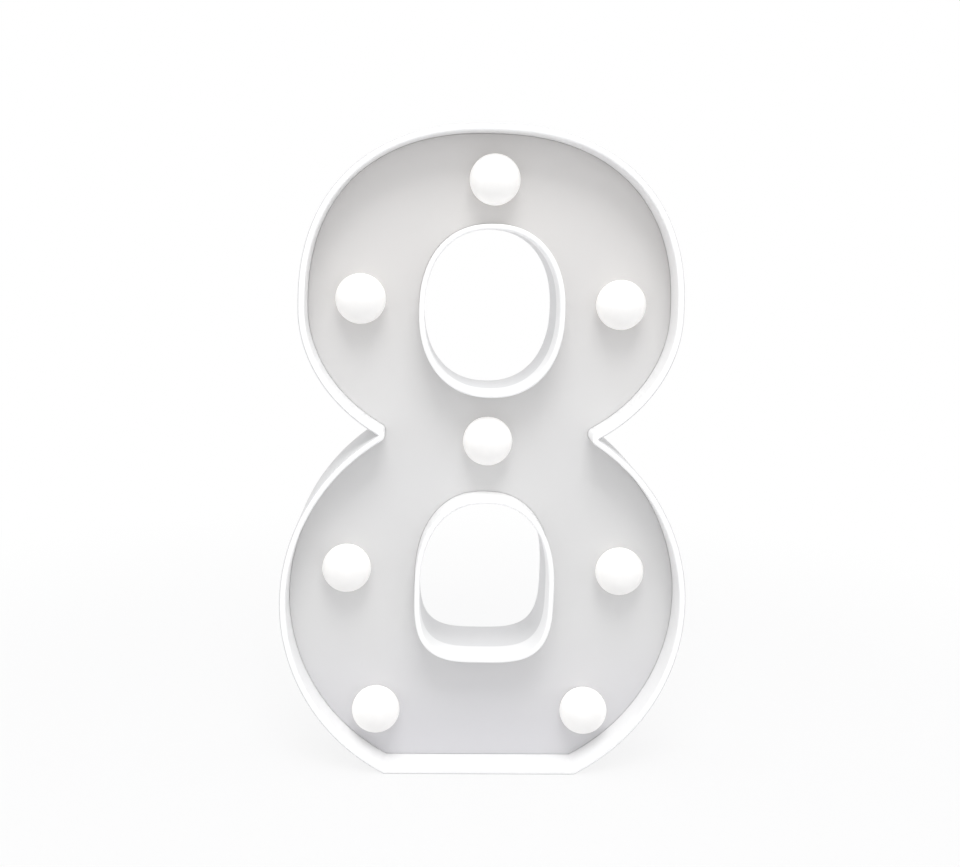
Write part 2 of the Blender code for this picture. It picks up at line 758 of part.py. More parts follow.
def make_back_panel():
    """The inset back: tray, keyholes, screw pads, stiffening ribs and the switch's pocket."""
    outline = inset_outline(number_outline(), WALL + GAP)
    counters = [
        inset_outline(counter.outline(COUNTER_SIDES), -GAP) for counter in (UPPER_COUNTER, LOWER_COUNTER)
    ]
    keyholes = [
        keyhole_outline(across, keyhole_height()) for across in (KEYHOLE_SPREAD, -KEYHOLE_SPREAD)
    ]
    panel = flat_solid("back_panel", [outline, *counters, *keyholes], PANEL_FRONT, REAR)
    middle = tray_middle()
    tray_outline = rounded_rectangle(
        (0, middle), TRAY_HALF_LENGTH + TRAY_WALL, TRAY_HALF_HEIGHT + TRAY_WALL, DOOR_CORNER
    )
    tray = flat_solid("tray", [tray_outline], TRAY_FRONT, PANEL_FRONT + EMBED, CUTTERS)
    combine(panel, tray, "UNION")
    screws = screw_places().values()
    pad_radius = SCREW_HEAD_RADIUS + GAP + SCREW_PAD_WALL
    pad_back = PANEL_FRONT + EMBED
    join(panel, round_mesh("screw_pads", screws, pad_radius, SCREW_PAD_FRONT, pad_back, BOSS_SIDES))
    well_front = SCREW_PAD_FRONT + SCREW_PAD_FLOOR
    well_radius = SCREW_HEAD_RADIUS + GAP
    cut(panel, round_mesh("screw_wells", screws, well_radius, well_front, REAR + OVERRUN, BOSS_SIDES))
    hole_radius = SCREW_SHANK_RADIUS + GAP
    hole_front = SCREW_PAD_FRONT - OVERRUN
    cut(panel, round_mesh("screw_holes", screws, hole_radius, hole_front, well_front + EMBED, SMALL_SIDES))
    pocket_front = PANEL_FRONT - POCKET_DEPTH
    for name, margin, back, fit in (
        ("switch_pocket", GAP + POCKET_WALL, PANEL_FRONT + EMBED, join),
        ("switch_bed", GAP, PANEL_FRONT, cut),
    ):
        front = pocket_front - OVERRUN if fit is cut else pocket_front
        sides = (SWITCH_WIDTH + 2 * margin, back - front, SWITCH_LENGTH + 2 * margin)
        fit(panel, box_mesh(name, [((SWITCH_SPREAD, (front + back) / 2, SWITCH_HEIGHT), sides)]))
    cut(panel, box_mesh("switch_window", [switch_window(OVERRUN)]))
    rib_height = UPPER_COUNTER.centre_height
    rib_inner = UPPER_COUNTER.half_width + WALL
    rib_outer = UPPER_HALF_WIDTH - 2 * WALL
    ribs = [
        (
            (side * (rib_inner + rib_outer) / 2, PANEL_FRONT + (EMBED - RIB_HEIGHT) / 2, rib_height),
            (rib_outer - rib_inner, RIB_HEIGHT + EMBED, RIB_THICKNESS),
        )
        for side in (1, -1)
    ]
    join(panel, box_mesh("stiffening_ribs", ribs))
    cut_door_seat(panel)
    return finish(baked(panel), WHITE_PLASTIC, 40)


# Battery door

def make_battery_door():
    """The flush door that tilts out on two hooks along its lower edge."""
    middle = tray_middle()
    half_length = TRAY_HALF_LENGTH + DOOR_LEDGE - GAP
    half_height = TRAY_HALF_HEIGHT + DOOR_LEDGE - GAP
    outline = rounded_rectangle((0, middle), half_length, half_height, DOOR_CORNER - GAP)
    door = flat_solid("battery_door", [outline], DOOR_FRONT, REAR)
    bottom = middle - TRAY_HALF_HEIGHT
    top = middle + half_height
    hook_back = LEDGE_DEPTH - HOOK_DROP
    hook_front = hook_back - HOOK_THICKNESS
    stem_middle = bottom + GAP + HOOK_THICKNESS / 2
    hooks = []
    for spread in hook_places():
        hooks.append(
            (
                (spread, (hook_front + DOOR_FRONT + EMBED) / 2, stem_middle),
                (HOOK_WIDTH, DOOR_FRONT + EMBED - hook_front, HOOK_THICKNESS),
            )
        )
    stems = box_mesh("hook_stems", hooks)
    join(door, stems)
    toes = [
        (
            (spread, (hook_front + hook_back) / 2, bottom + GAP + (EMBED - HOOK_REACH) / 2),
            (HOOK_WIDTH, HOOK_THICKNESS, HOOK_REACH + EMBED),
        )
        for spread in hook_places()
    ]
    join(door, box_mesh("hook_toes", toes))
    slots = [
        (
            (side * (LATCH_WIDTH + LATCH_SLOT) / 2, (DOOR_FRONT + REAR) / 2, top - LATCH_LENGTH / 2),
            (LATCH_SLOT, DOOR_THICKNESS + 2 * OVERRUN, LATCH_LENGTH + OVERRUN),
        )
        for side in (1, -1)
    ]
    cut(door, box_mesh("latch_slots", slots))
    grooves = []
    for index in range(DOOR_GROOVES):
        height = top - LATCH_LENGTH - DOOR_GROOVE_PITCH * (index + 1)
        grooves.append(
            (
                (0, REAR + (OVERRUN - DOOR_GROOVE_DEPTH) / 2, height),
                (DOOR_GROOVE_LENGTH, DOOR_GROOVE_DEPTH + OVERRUN, DOOR_GROOVE_WIDTH),
            )
        )
    cut(door, box_mesh("grip_grooves", grooves))
    baked(door)
    hinge = bpy.data.objects.new("battery_door_hinge", None)
    PARTS.objects.link(hinge)
    hinge.location = (0, REAR, middle - half_height)
    bpy.context.view_layer.update()
    door.parent = hinge
    door.matrix_parent_inverse = hinge.matrix_world.inverted()
    return finish(door, WHITE_PLASTIC, 40)


# Cells and contacts

def cell_heights():
    """Heights of the upper and the lower cell's axes."""
    apart = (CELL_DIAMETER + CELL_PLAY) / 2
    return (tray_middle() + apart, tray_middle() - apart)


def cell_middle(index):
    """How far the cell's middle is moved away from the spring at its negative end."""
    side = 1 if index == 0 else -1
    return side * SPRING_LENGTH / 2


def make_cell(index, height):
    """A cell along X, with its positive nub to the right on the first and to the left on the second."""
    half = CELL_LENGTH / 2
    shoulder = half - CELL_NUB_LENGTH
    nub = CELL_NUB_DIAMETER / 2
    profile = [
        (0, half),
        (nub, half),
        (nub, shoulder),
        (CELL_RADIUS - CELL_EDGE_ROUND, shoulder),
        (CELL_RADIUS, shoulder - CELL_EDGE_ROUND),
        (CELL_RADIUS, CELL_EDGE_ROUND - half),
        (CELL_RADIUS - CELL_EDGE_ROUND, -half),
        (0, -half),
    ]
    cell = turned(f"aa_cell_{index + 1}", profile, CELL_SIDES)
    side = 1 if index == 0 else -1
    cell.rotation_euler.y = side * math.pi / 2
    cell.location = (cell_middle(index), CELL_AXIS_DEPTH, height)
    return finish(cell, CELL_WRAP, 40)


def plate_place(side):
    """X of the middle of the contact plates at this end of the tray."""
    return side * (TRAY_HALF_LENGTH - GAP - CONTACT_THICKNESS / 2)


def make_contacts():
    """The bridge at the left, and the two plates with solder tabs at the right."""
    upper, lower = cell_heights()
    left = plate_place(-1)
    right = plate_place(1)
    bridge_length = upper - lower + CONTACT_SIDE
    bridge_middle = (left, CELL_AXIS_DEPTH, (upper + lower) / 2)
    bridge_box = (bridge_middle, (CONTACT_THICKNESS, CONTACT_SIDE, bridge_length))
    bridge = mesh_object("bridge_contact", box_mesh("bridge_contact", [bridge_box]))
    plates = [bridge]
    for name, height in (("positive_contact", upper), ("negative_contact", lower)):
        plate_box = ((right, CELL_AXIS_DEPTH, height), (CONTACT_THICKNESS, CONTACT_SIDE, CONTACT_SIDE))
        plate = mesh_object(name, box_mesh(name, [plate_box]))
        tab_box = (
            (right + CONTACT_TAB_LENGTH / 2, CELL_AXIS_DEPTH, height),
            (CONTACT_TAB_LENGTH, CONTACT_THICKNESS, CONTACT_TAB_WIDTH),
        )
        join(plate, box_mesh(f"{name}_tab", [tab_box]))
        plates.append(plate)
    for plate in plates:
        finish(baked(plate), NICKEL)
    return plates


def make_spring(name, side, height):
    """A conical coil from its plate to the flat end of the cell."""
    plate_face = side * (TRAY_HALF_LENGTH - 2 * GAP - CONTACT_THICKNESS - SPRING_WIRE / 2)
    cell_face = side * ((CELL_LENGTH - SPRING_LENGTH + SPRING_WIRE) / 2 + GAP)
    count = SPRING_TURNS * SPRING_TURN_POINTS
    points = []
    for index in range(count + 1):
        share = index / count
        radius = mix(SPRING_FOOT_RADIUS, SPRING_TOP_RADIUS, share)
        angle = math.tau * SPRING_TURNS * share
        points.append(
            Vector(
                (
                    mix(plate_face, cell_face, share),
                    CELL_AXIS_DEPTH + radius * math.cos(angle),
                    height + radius * math.sin(angle),
                )
            )
        )
    return finish(tube(name, points, SPRING_WIRE / 2), NICKEL)


# Bulbs

def bulb_profile():
    """Profile of a bulb cap: down the dome and neck, round the barb, up inside. Height zero is the face."""
    crown = BULB_HEIGHT - BULB_EQUATOR
    profile = [(0, BULB_HEIGHT)]
    for step in range(1, BULB_DOME_STEPS + 1):
        angle = math.pi / 2 * (1 - step / BULB_DOME_STEPS)
        profile.append((BULB_RADIUS * math.cos(angle), BULB_EQUATOR + crown * math.sin(angle)))
    cheek = mix(BULB_FOOT_RADIUS, BULB_RADIUS, BULB_CHEEK_SPREAD_SHARE)
    profile.append((cheek, mix(GAP, BULB_EQUATOR, BULB_CHEEK_HEIGHT_SHARE)))
    profile.append((BULB_FOOT_RADIUS, GAP))
    profile.append((BULB_NECK_RADIUS, GAP))
    barb_top = -FACE_THICKNESS - GAP
    profile.append((BULB_NECK_RADIUS, barb_top))
    profile.append((BULB_NECK_RADIUS + BULB_BARB, barb_top))
    profile.append((BULB_NECK_RADIUS, barb_top - BULB_BARB_LENGTH))
    profile.append((BULB_NECK_BORE, barb_top - BULB_BARB_LENGTH))
    profile.append((BULB_NECK_BORE, BULB_WALL))
    inner_steps = BULB_DOME_STEPS - 2
    for step in range(inner_steps):
        angle = math.pi / 2 * step / inner_steps
        radius = (BULB_RADIUS - BULB_WALL) * math.cos(angle)
        profile.append((radius, BULB_EQUATOR + (crown - BULB_WALL) * math.sin(angle)))
    profile.append((0, BULB_HEIGHT - BULB_WALL))
    return profile


def make_bulbs():
    """One frosted cap at each bulb place, all from one mesh."""
    caps = []
    for name, (across, up) in bulb_places().items():
        if caps:
            cap = mesh_object(f"bulb_{name}", caps[0].data.copy())
        else:
            cap = turned(f"bulb_{name}", bulb_profile(), BULB_SIDES)
        cap.rotation_euler.x = math.pi / 2
        cap.location = (across, FACE_FRONT, up)
        caps.append(finish(cap, FROSTED_BULB, 60))
    return caps


def led_profile():
    """Profile of a diode: down its dome and body and round its flange. Height zero is the flange's back."""
    body_top = LED_LENGTH - LED_RADIUS
    return [
        (0, LED_LENGTH),
        (LED_RADIUS * math.sin(math.pi / 4), body_top + LED_RADIUS * math.cos(math.pi / 4)),
        (LED_RADIUS, body_top),
        (LED_RADIUS, LED_FLANGE_THICKNESS),
        (LED_FLANGE_RADIUS, LED_FLANGE_THICKNESS),
        (LED_FLANGE_RADIUS, 0),
        (0, 0),
    ]


def make_leds():
    """One diode behind each bulb cap, with its legs square to the wires that pass it."""
    route = string_route()
    flange_back = FACE_BACK + BULB_BARB_LENGTH + LED_FLANGE_THICKNESS + 2 * GAP
    for name, place in bulb_places().items():
        index = route.index(place)
        before = Vector(route[max(index - 1, 0)])
        after = Vector(route[min(index + 1, len(route) - 1)])
        along = after - before
        led = turned(f"led_{name}", led_profile(), SMALL_SIDES)
        leg_sides = (LED_LEG, LED_LEG, LED_LEG_LENGTH + EMBED)
        legs = [
            ((side * LED_LEG_PITCH / 2, 0, (EMBED - LED_LEG_LENGTH) / 2), leg_sides) for side in (1, -1)
        ]
        legs_mesh = box_mesh(f"led_{name}_legs", legs)
        turn = Matrix.Rotation(math.pi / 2, 4, "X") @ Matrix.Rotation(
            math.atan2(along.x, -along.y), 4, "Z"
        )
        placed = Matrix.Translation((place[0], flange_back, place[1])) @ turn
        legs_mesh.transform(placed)
        led.matrix_world = placed
        join(led, legs_mesh)
        finish(baked(led), CLEAR_LED, 50)


# Wiring

def between(start, end, shares):
    """The point that lies its own share of the way from start to end along each axis."""
    return Vector(mix(near, far, share) for near, far, share in zip(start, end, shares))


def contact_tab_end():
    """How far out a wire's middle lies at the end of a contact's solder tab."""
    return plate_place(1) + CONTACT_TAB_LENGTH + GAP + WIRE_RADIUS


def make_light_string():
    """The two wires that pass behind the legs of every diode."""
    route = string_route()
    knots = [Vector((across, up, 0)) for across, up in route]
    line = smooth_line(knots, WIRE_STEP)
    directions = []
    for index in range(len(line)):
        before = line[max(index - 1, 0)]
        after = line[min(index + 1, len(line) - 1)]
        directions.append((after - before).normalized())
    _, lower = cell_heights()
    switch_depth = switch_pin_tip() - GAP - RESISTOR_LEAD_RADIUS
    starts = {
        "string_wire_positive": Vector((SWITCH_SPREAD, switch_depth, resistor_bottom() - GAP)),
        "string_wire_negative": Vector((contact_tab_end(), CELL_AXIS_DEPTH, lower)),
    }
    for side, (name, start) in zip((1, -1), starts.items()):
        points = []
        for place, direction in zip(line, directions):
            normal = Vector((direction.y, -direction.x))
            across = place.x + side * normal.x * LED_LEG_PITCH / 2
            up = place.y + side * normal.y * LED_LEG_PITCH / 2
            points.append(Vector((across, WIRE_DEPTH, up)))
        first = points[0]
        drop = points[0] - (points[1] - points[0])
        lead_in = smooth_line([start, between(start, drop, LEAD_IN_BEND_SHARES), drop, first], WIRE_STEP / 2)
        finish(tube(name, lead_in[:-1] + points, WIRE_RADIUS), WIRES[name])


def switch_pin_tip():
    """Depth of the tips of the switch's pins."""
    return PANEL_FRONT - GAP - SWITCH_DEPTH - SWITCH_PIN_LENGTH


def resistor_bottom():
    """Height of the resistor's lower end."""
    return SWITCH_HEIGHT + SWITCH_PIN / 2 - 2 * RESISTOR_LEAD_LENGTH - RESISTOR_LENGTH


def make_battery_lead():
    """The wire from the positive contact to the first pin of the switch."""
    upper, _ = cell_heights()
    start = Vector((contact_tab_end(), CELL_AXIS_DEPTH, upper))
    end = Vector((SWITCH_SPREAD, switch_pin_tip() - GAP - WIRE_RADIUS, SWITCH_HEIGHT + SWITCH_PIN_PITCH))
    line = smooth_line([start, between(start, end, BATTERY_LEAD_BEND_SHARES), end], WIRE_STEP / 3)
    return finish(tube("battery_lead", line, WIRE_RADIUS), WIRES["string_wire_positive"])


def make_resistor():
    """The series resistor that hangs from the switch's middle pin."""
    half = RESISTOR_LENGTH / 2
    lead = half + RESISTOR_LEAD_LENGTH
    waist = RESISTOR_RADIUS - RESISTOR_LEAD_RADIUS
    profile = [
        (0, lead),
        (RESISTOR_LEAD_RADIUS, lead),
        (RESISTOR_LEAD_RADIUS, half),
        (RESISTOR_RADIUS, half - RESISTOR_LEAD_RADIUS),
        (waist, half / 2),
        (waist, -half / 2),
        (RESISTOR_RADIUS, RESISTOR_LEAD_RADIUS - half),
        (RESISTOR_LEAD_RADIUS, -half),
        (RESISTOR_LEAD_RADIUS, -lead),
        (0, -lead),
    ]
    resistor = turned("resistor", profile, SMALL_SIDES)
    depth = switch_pin_tip() - GAP - RESISTOR_LEAD_RADIUS
    resistor.location = (SWITCH_SPREAD, depth, resistor_bottom() + lead)
    return finish(resistor, RESISTOR_BODY, 50)


# Slide switch

def make_switch():
    """The switch's case with its pins, and the slider that carries the knob."""
    case_back = PANEL_FRONT - GAP
    case_front = case_back - SWITCH_DEPTH
    case_middle = (SWITCH_SPREAD, (case_front + case_back) / 2, SWITCH_HEIGHT)
    case_sides = (SWITCH_WIDTH, SWITCH_DEPTH, SWITCH_LENGTH)
    case = mesh_object("switch_body", box_mesh("switch_body", [(case_middle, case_sides)]))
    slider_length = SLIDER_LENGTH + SWITCH_TRAVEL + 2 * GAP
    slider_width = SWITCH_WIDTH - 2 * SWITCH_CASE
    hollow_depth = SLIDER_THICKNESS + 2 * GAP
    hollow_back = case_back - SWITCH_CASE
    hollow_middle = (SWITCH_SPREAD, hollow_back - hollow_depth / 2, SWITCH_HEIGHT)
    slot_middle = (SWITCH_SPREAD, case_back - SWITCH_CASE / 2, SWITCH_HEIGHT)
    slot_sides = (KNOB_WIDTH + 2 * GAP, SWITCH_CASE + 2 * OVERRUN, KNOB_LENGTH + SWITCH_TRAVEL + 2 * GAP)
    cut(case, box_mesh("slider_hollow", [(hollow_middle, (slider_width, hollow_depth, slider_length))]))
    cut(case, box_mesh("slider_slot", [(slot_middle, slot_sides)]))
    pin_length = SWITCH_PIN_LENGTH + EMBED
    pin_depth = case_front + EMBED - pin_length / 2
    pins = []
    for index in range(SWITCH_PINS):
        height = SWITCH_HEIGHT + (index - (SWITCH_PINS - 1) / 2) * SWITCH_PIN_PITCH
        pins.append(((SWITCH_SPREAD, pin_depth, height), (SWITCH_PIN, pin_length, SWITCH_PIN)))
    join(case, box_mesh("switch_pins", pins))
    finish(baked(case), NICKEL)
    rest = SWITCH_HEIGHT - SWITCH_TRAVEL / 2
    plate_back = hollow_back - GAP
    plate_middle = (0, plate_back - SLIDER_THICKNESS / 2 - REAR, 0)
    plate_sides = (slider_width - 2 * GAP, SLIDER_THICKNESS, SLIDER_LENGTH)
    slider = mesh_object("switch_slider", box_mesh("switch_slider", [(plate_middle, plate_sides)]))
    slider.location = (SWITCH_SPREAD, REAR, rest)
    knob_back = REAR - KNOB_SINK
    knob_length = knob_back - plate_back + EMBED
    knob_middle = (SWITCH_SPREAD, knob_back - knob_length / 2, rest)
    join(slider, box_mesh("switch_knob", [(knob_middle, (KNOB_WIDTH, knob_length, KNOB_LENGTH))]))
    finish(baked(slider), BLACK_PLASTIC)
    return case, slider


# Screws

def make_screws():
    """One self-tapping screw in each well of the back panel."""
    neck = -SCREW_HEAD_HEIGHT
    point = neck - SCREW_LENGTH
    profile = [
        (0, 0),
        (SCREW_HEAD_RADIUS - SCREW_HEAD_ROUND, 0),
        (SCREW_HEAD_RADIUS, -SCREW_HEAD_ROUND),
        (SCREW_HEAD_RADIUS, neck),
        (SCREW_SHANK_RADIUS, neck),
        (SCREW_SHANK_RADIUS, point + SCREW_POINT),
        (0, point),
    ]
    screws = []
    for name, (across, up) in screw_places().items():
        if screws:
            screw = mesh_object(f"screw_{name}", screws[0].data.copy())
        else:
            screw = turned(f"screw_{name}", profile, SMALL_SIDES)
            for sides in ((SCREW_CROSS_LENGTH, SCREW_CROSS_WIDTH), (SCREW_CROSS_WIDTH, SCREW_CROSS_LENGTH)):
                cut(screw, box_mesh("screw_cross", [((0, 0, 0), (*sides, 2 * SCREW_CROSS_DEPTH))]))
            baked(screw)
        screw.rotation_euler.x = -math.pi / 2
        screw.location = (across, REAR - SCREW_SINK, up)
        screws.append(finish(screw, STEEL, 50))
    return screws


# Materials

WHITE_PLASTIC = material_named("white_plastic", (0.90, 0.90, 0.91), 0.35)
FROSTED_BULB = material_named("frosted_bulb", (0.95, 0.95, 0.94), 0.45, transmission=0.3)
CLEAR_LED = material_named("clear_led", (0.98, 0.93, 0.78), 0.1, transmission=0.6)
NICKEL = material_named("nickel", (0.72, 0.71, 0.69), 0.25, metallic=1.0)
STEEL = material_named("screw_steel", (0.62, 0.62, 0.64), 0.3, metallic=1.0)
CELL_WRAP = material_named("cell_wrap", (0.16, 0.17, 0.19), 0.35)
BLACK_PLASTIC = material_named("black_plastic", (0.03, 0.03, 0.03), 0.5)
RESISTOR_BODY = material_named("resistor_body", (0.78, 0.66, 0.45), 0.5)
WIRES = {
    "string_wire_positive": material_named("red_wire", (0.62, 0.05, 0.04), 0.45),
    "string_wire_negative": material_named("black_wire", (0.03, 0.03, 0.03), 0.45),
}


def main():
    """Makes every piece in turn."""
    make_front_shell()
    make_back_panel()
    make_battery_door()
    for index, height in enumerate(cell_heights()):
        make_cell(index, height)
    make_contacts()
    upper, lower = cell_heights()
    make_spring("bridge_spring", -1, upper)
    make_spring("negative_spring", 1, lower)
    make_bulbs()
    make_leds()
    make_light_string()
    make_battery_lead()
    make_resistor()
    make_switch()
    make_screws()


main()
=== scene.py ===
"""Looks of the light-up marquee number: its finer pieces, their finishes and the studio round them.

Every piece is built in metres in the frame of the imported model: X to the right of the numeral seen from
the front, Y to its back and Z up, with the origin in the middle of the flat foot.
"""

import logging
import math
from dataclasses import dataclass
from enum import Enum
from typing import Mapping, Sequence, Union

import bmesh
import bpy
from mathutils import Euler, Matrix, Vector


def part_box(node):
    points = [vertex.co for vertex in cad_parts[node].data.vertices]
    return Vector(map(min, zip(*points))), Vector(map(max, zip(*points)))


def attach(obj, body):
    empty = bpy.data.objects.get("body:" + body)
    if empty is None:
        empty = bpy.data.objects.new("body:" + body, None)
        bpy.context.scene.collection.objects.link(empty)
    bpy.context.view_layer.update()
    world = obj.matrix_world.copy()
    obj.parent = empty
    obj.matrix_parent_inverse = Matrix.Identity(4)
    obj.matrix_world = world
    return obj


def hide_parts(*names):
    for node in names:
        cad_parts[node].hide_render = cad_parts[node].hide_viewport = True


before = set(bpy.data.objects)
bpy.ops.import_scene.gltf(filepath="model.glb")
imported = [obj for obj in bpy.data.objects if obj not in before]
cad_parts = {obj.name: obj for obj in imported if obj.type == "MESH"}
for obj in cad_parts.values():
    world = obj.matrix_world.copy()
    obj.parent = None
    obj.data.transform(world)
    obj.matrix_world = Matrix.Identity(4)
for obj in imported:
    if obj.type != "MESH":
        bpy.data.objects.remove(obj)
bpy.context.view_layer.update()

LOG = logging.getLogger("marquee_number")
MM = 0.001
WELD = 0.001 * MM
FLAT_BEND = math.radians(0.5)
CROSS = ("Cross Length", "Cross Width", "Cross Depth")

Flat = tuple[float, float]
Triple = tuple[float, float, float]
Colour = Triple
Piece = bpy.types.Object
Value = Union["Signal", float, int, bool, str, Sequence[float], bpy.types.ID]
Values = Mapping[str, Value]


class Body(Enum):
    """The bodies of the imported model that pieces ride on."""

    NUMBER = "number"
    DOOR = "battery_door"
    SLIDER = "switch_slider"


class Slot(Enum):
    """The record's material slots."""

    WHITE_PLASTIC = "white_plastic"
    BULB = "frosted_bulb"
    LED = "clear_led"
    NICKEL = "nickel"
    STEEL = "screw_steel"
    CELL = "cell_wrap"
    BLACK_PLASTIC = "black_plastic"
    RESISTOR = "resistor_body"
    RED_WIRE = "red_wire"
    BLACK_WIRE = "black_wire"


# Node trees


class Signal:
    """One socket of a node tree, with which sums and products are written as in Python."""

    def __init__(self, graph: "Graph", socket: bpy.types.NodeSocket) -> None:
        """Wraps the socket of a tree."""
        self.graph = graph
        self.socket = socket

    def _maths(self, operation: str, *values: Value) -> "Signal":
        """The result of a Math node with this operation and these inputs."""
        return self.graph.node("ShaderNodeMath", {"operation": operation}, dict(enumerate(values)))

    def __add__(self, other: Value) -> "Signal":
        """Self plus other."""
        return self._maths("ADD", self, other)

    def __radd__(self, other: Value) -> "Signal":
        """Other plus self."""
        return self._maths("ADD", other, self)

    def __sub__(self, other: Value) -> "Signal":
        """Self less other."""
        return self._maths("SUBTRACT", self, other)

    def __rsub__(self, other: Value) -> "Signal":
        """Other less self."""
        return self._maths("SUBTRACT", other, self)

    def __mul__(self, other: Value) -> "Signal":
        """Self times other."""
        return self._maths("MULTIPLY", self, other)

    def __rmul__(self, other: Value) -> "Signal":
        """Other times self."""
        return self._maths("MULTIPLY", other, self)

    def __truediv__(self, other: Value) -> "Signal":
        """Self over other."""
        return self._maths("DIVIDE", self, other)

    def __rtruediv__(self, other: Value) -> "Signal":
        """Other over self."""
        return self._maths("DIVIDE", other, self)

    def __mod__(self, other: Value) -> "Signal":
        """What is left of self after whole multiples of other."""
        return self._maths("MODULO", self, other)

    def __rmod__(self, other: Value) -> "Signal":
        """What is left of other after whole multiples of self."""
        return self._maths("MODULO", other, self)

    def floor(self) -> "Signal":
        """The whole number at or below self."""
        return self._maths("FLOOR", self)

    def sine(self) -> "Signal":
        """The sine of self, in radians."""
        return self._maths("SINE", self)

    def cosine(self) -> "Signal":
        """The cosine of self, in radians."""
        return self._maths("COSINE", self)

    def size(self) -> "Signal":
        """Self without its sign."""
        return self._maths("ABSOLUTE", self)

    def above(self, limit: Value) -> "Signal":
        """1 where self is above the limit, else 0."""
        return self._maths("GREATER_THAN", self, limit)

    def below(self, limit: Value) -> "Signal":
        """1 where self is below the limit, else 0."""
        return self._maths("LESS_THAN", self, limit)

    def ease(self, low: float, high: float, start: float = 0.0, end: float = 1.0) -> "Signal":
        """A smooth step from start to end, while self goes from low to high."""
        inputs = {"Value": self, "From Min": low, "From Max": high, "To Min": start, "To Max": end}
        return self.graph.node("ShaderNodeMapRange", {"interpolation_type": "SMOOTHSTEP"}, inputs)


class Graph:
    """A node tree that is written from Python."""

    def __init__(self, tree: bpy.types.NodeTree) -> None:
        """Takes over an existing tree."""
        self.tree = tree

    @staticmethod
    def _socket(sockets: Sequence[bpy.types.NodeSocket], key: Union[int, str]) -> bpy.types.NodeSocket:
        """Finds a socket.

        Args:
            sockets: the node's inputs or outputs.
            key: place, identifier or name of the socket.

        Returns:
            The socket.
        """
        if isinstance(key, int):
            return sockets[key]
        for socket in sockets:
            if socket.identifier == key and socket.enabled:
                return socket
        return next(socket for socket in sockets if socket.name == key and socket.enabled)

    def node(
        self,
        kind: str,
        settings: Mapping[str, object],
        inputs: Mapping[Union[int, str], Value],
        output: Union[int, str] = 0,
    ) -> Signal:
        """Adds a node and gives one of its outputs.

        Args:
            kind: the node's type.
            settings: its own settings, which are set first.
            inputs: a value, a signal or several signals for each input.
            output: place, identifier or name of the output.

        Returns:
            The output.
        """
        node = self.tree.nodes.new(kind)
        for name, setting in settings.items():
            setattr(node, name, setting)
        for key, value in inputs.items():
            socket = self._socket(node.inputs, key)
            for part in value if isinstance(value, list) else [value]:
                if isinstance(part, Signal):
                    self.tree.links.new(part.socket, socket)
                else:
                    socket.default_value = part
        return Signal(self, self._socket(node.outputs, output))

    def coordinate(self, vector: Signal, axis: str) -> Signal:
        """One coordinate of a vector."""
        return self.node("ShaderNodeSeparateXYZ", {}, {0: vector}, axis)

    def joined(self, **coordinates: Value) -> Signal:
        """The vector with these coordinates X, Y and Z. Those not given are 0."""
        return self.node("ShaderNodeCombineXYZ", {}, coordinates)


@dataclass(frozen=True)
class Clouds:
    """Cloudy noise: the size of its lumps in metres, its octaves, the factor of each axis and its marks.

    Where it has marks, it eases from 0 at the low one to 1 at the high one.
    """

    lump: float
    detail: float = 2.0
    stretch: Triple = (1.0, 1.0, 1.0)
    marks: Union[Flat, None] = None


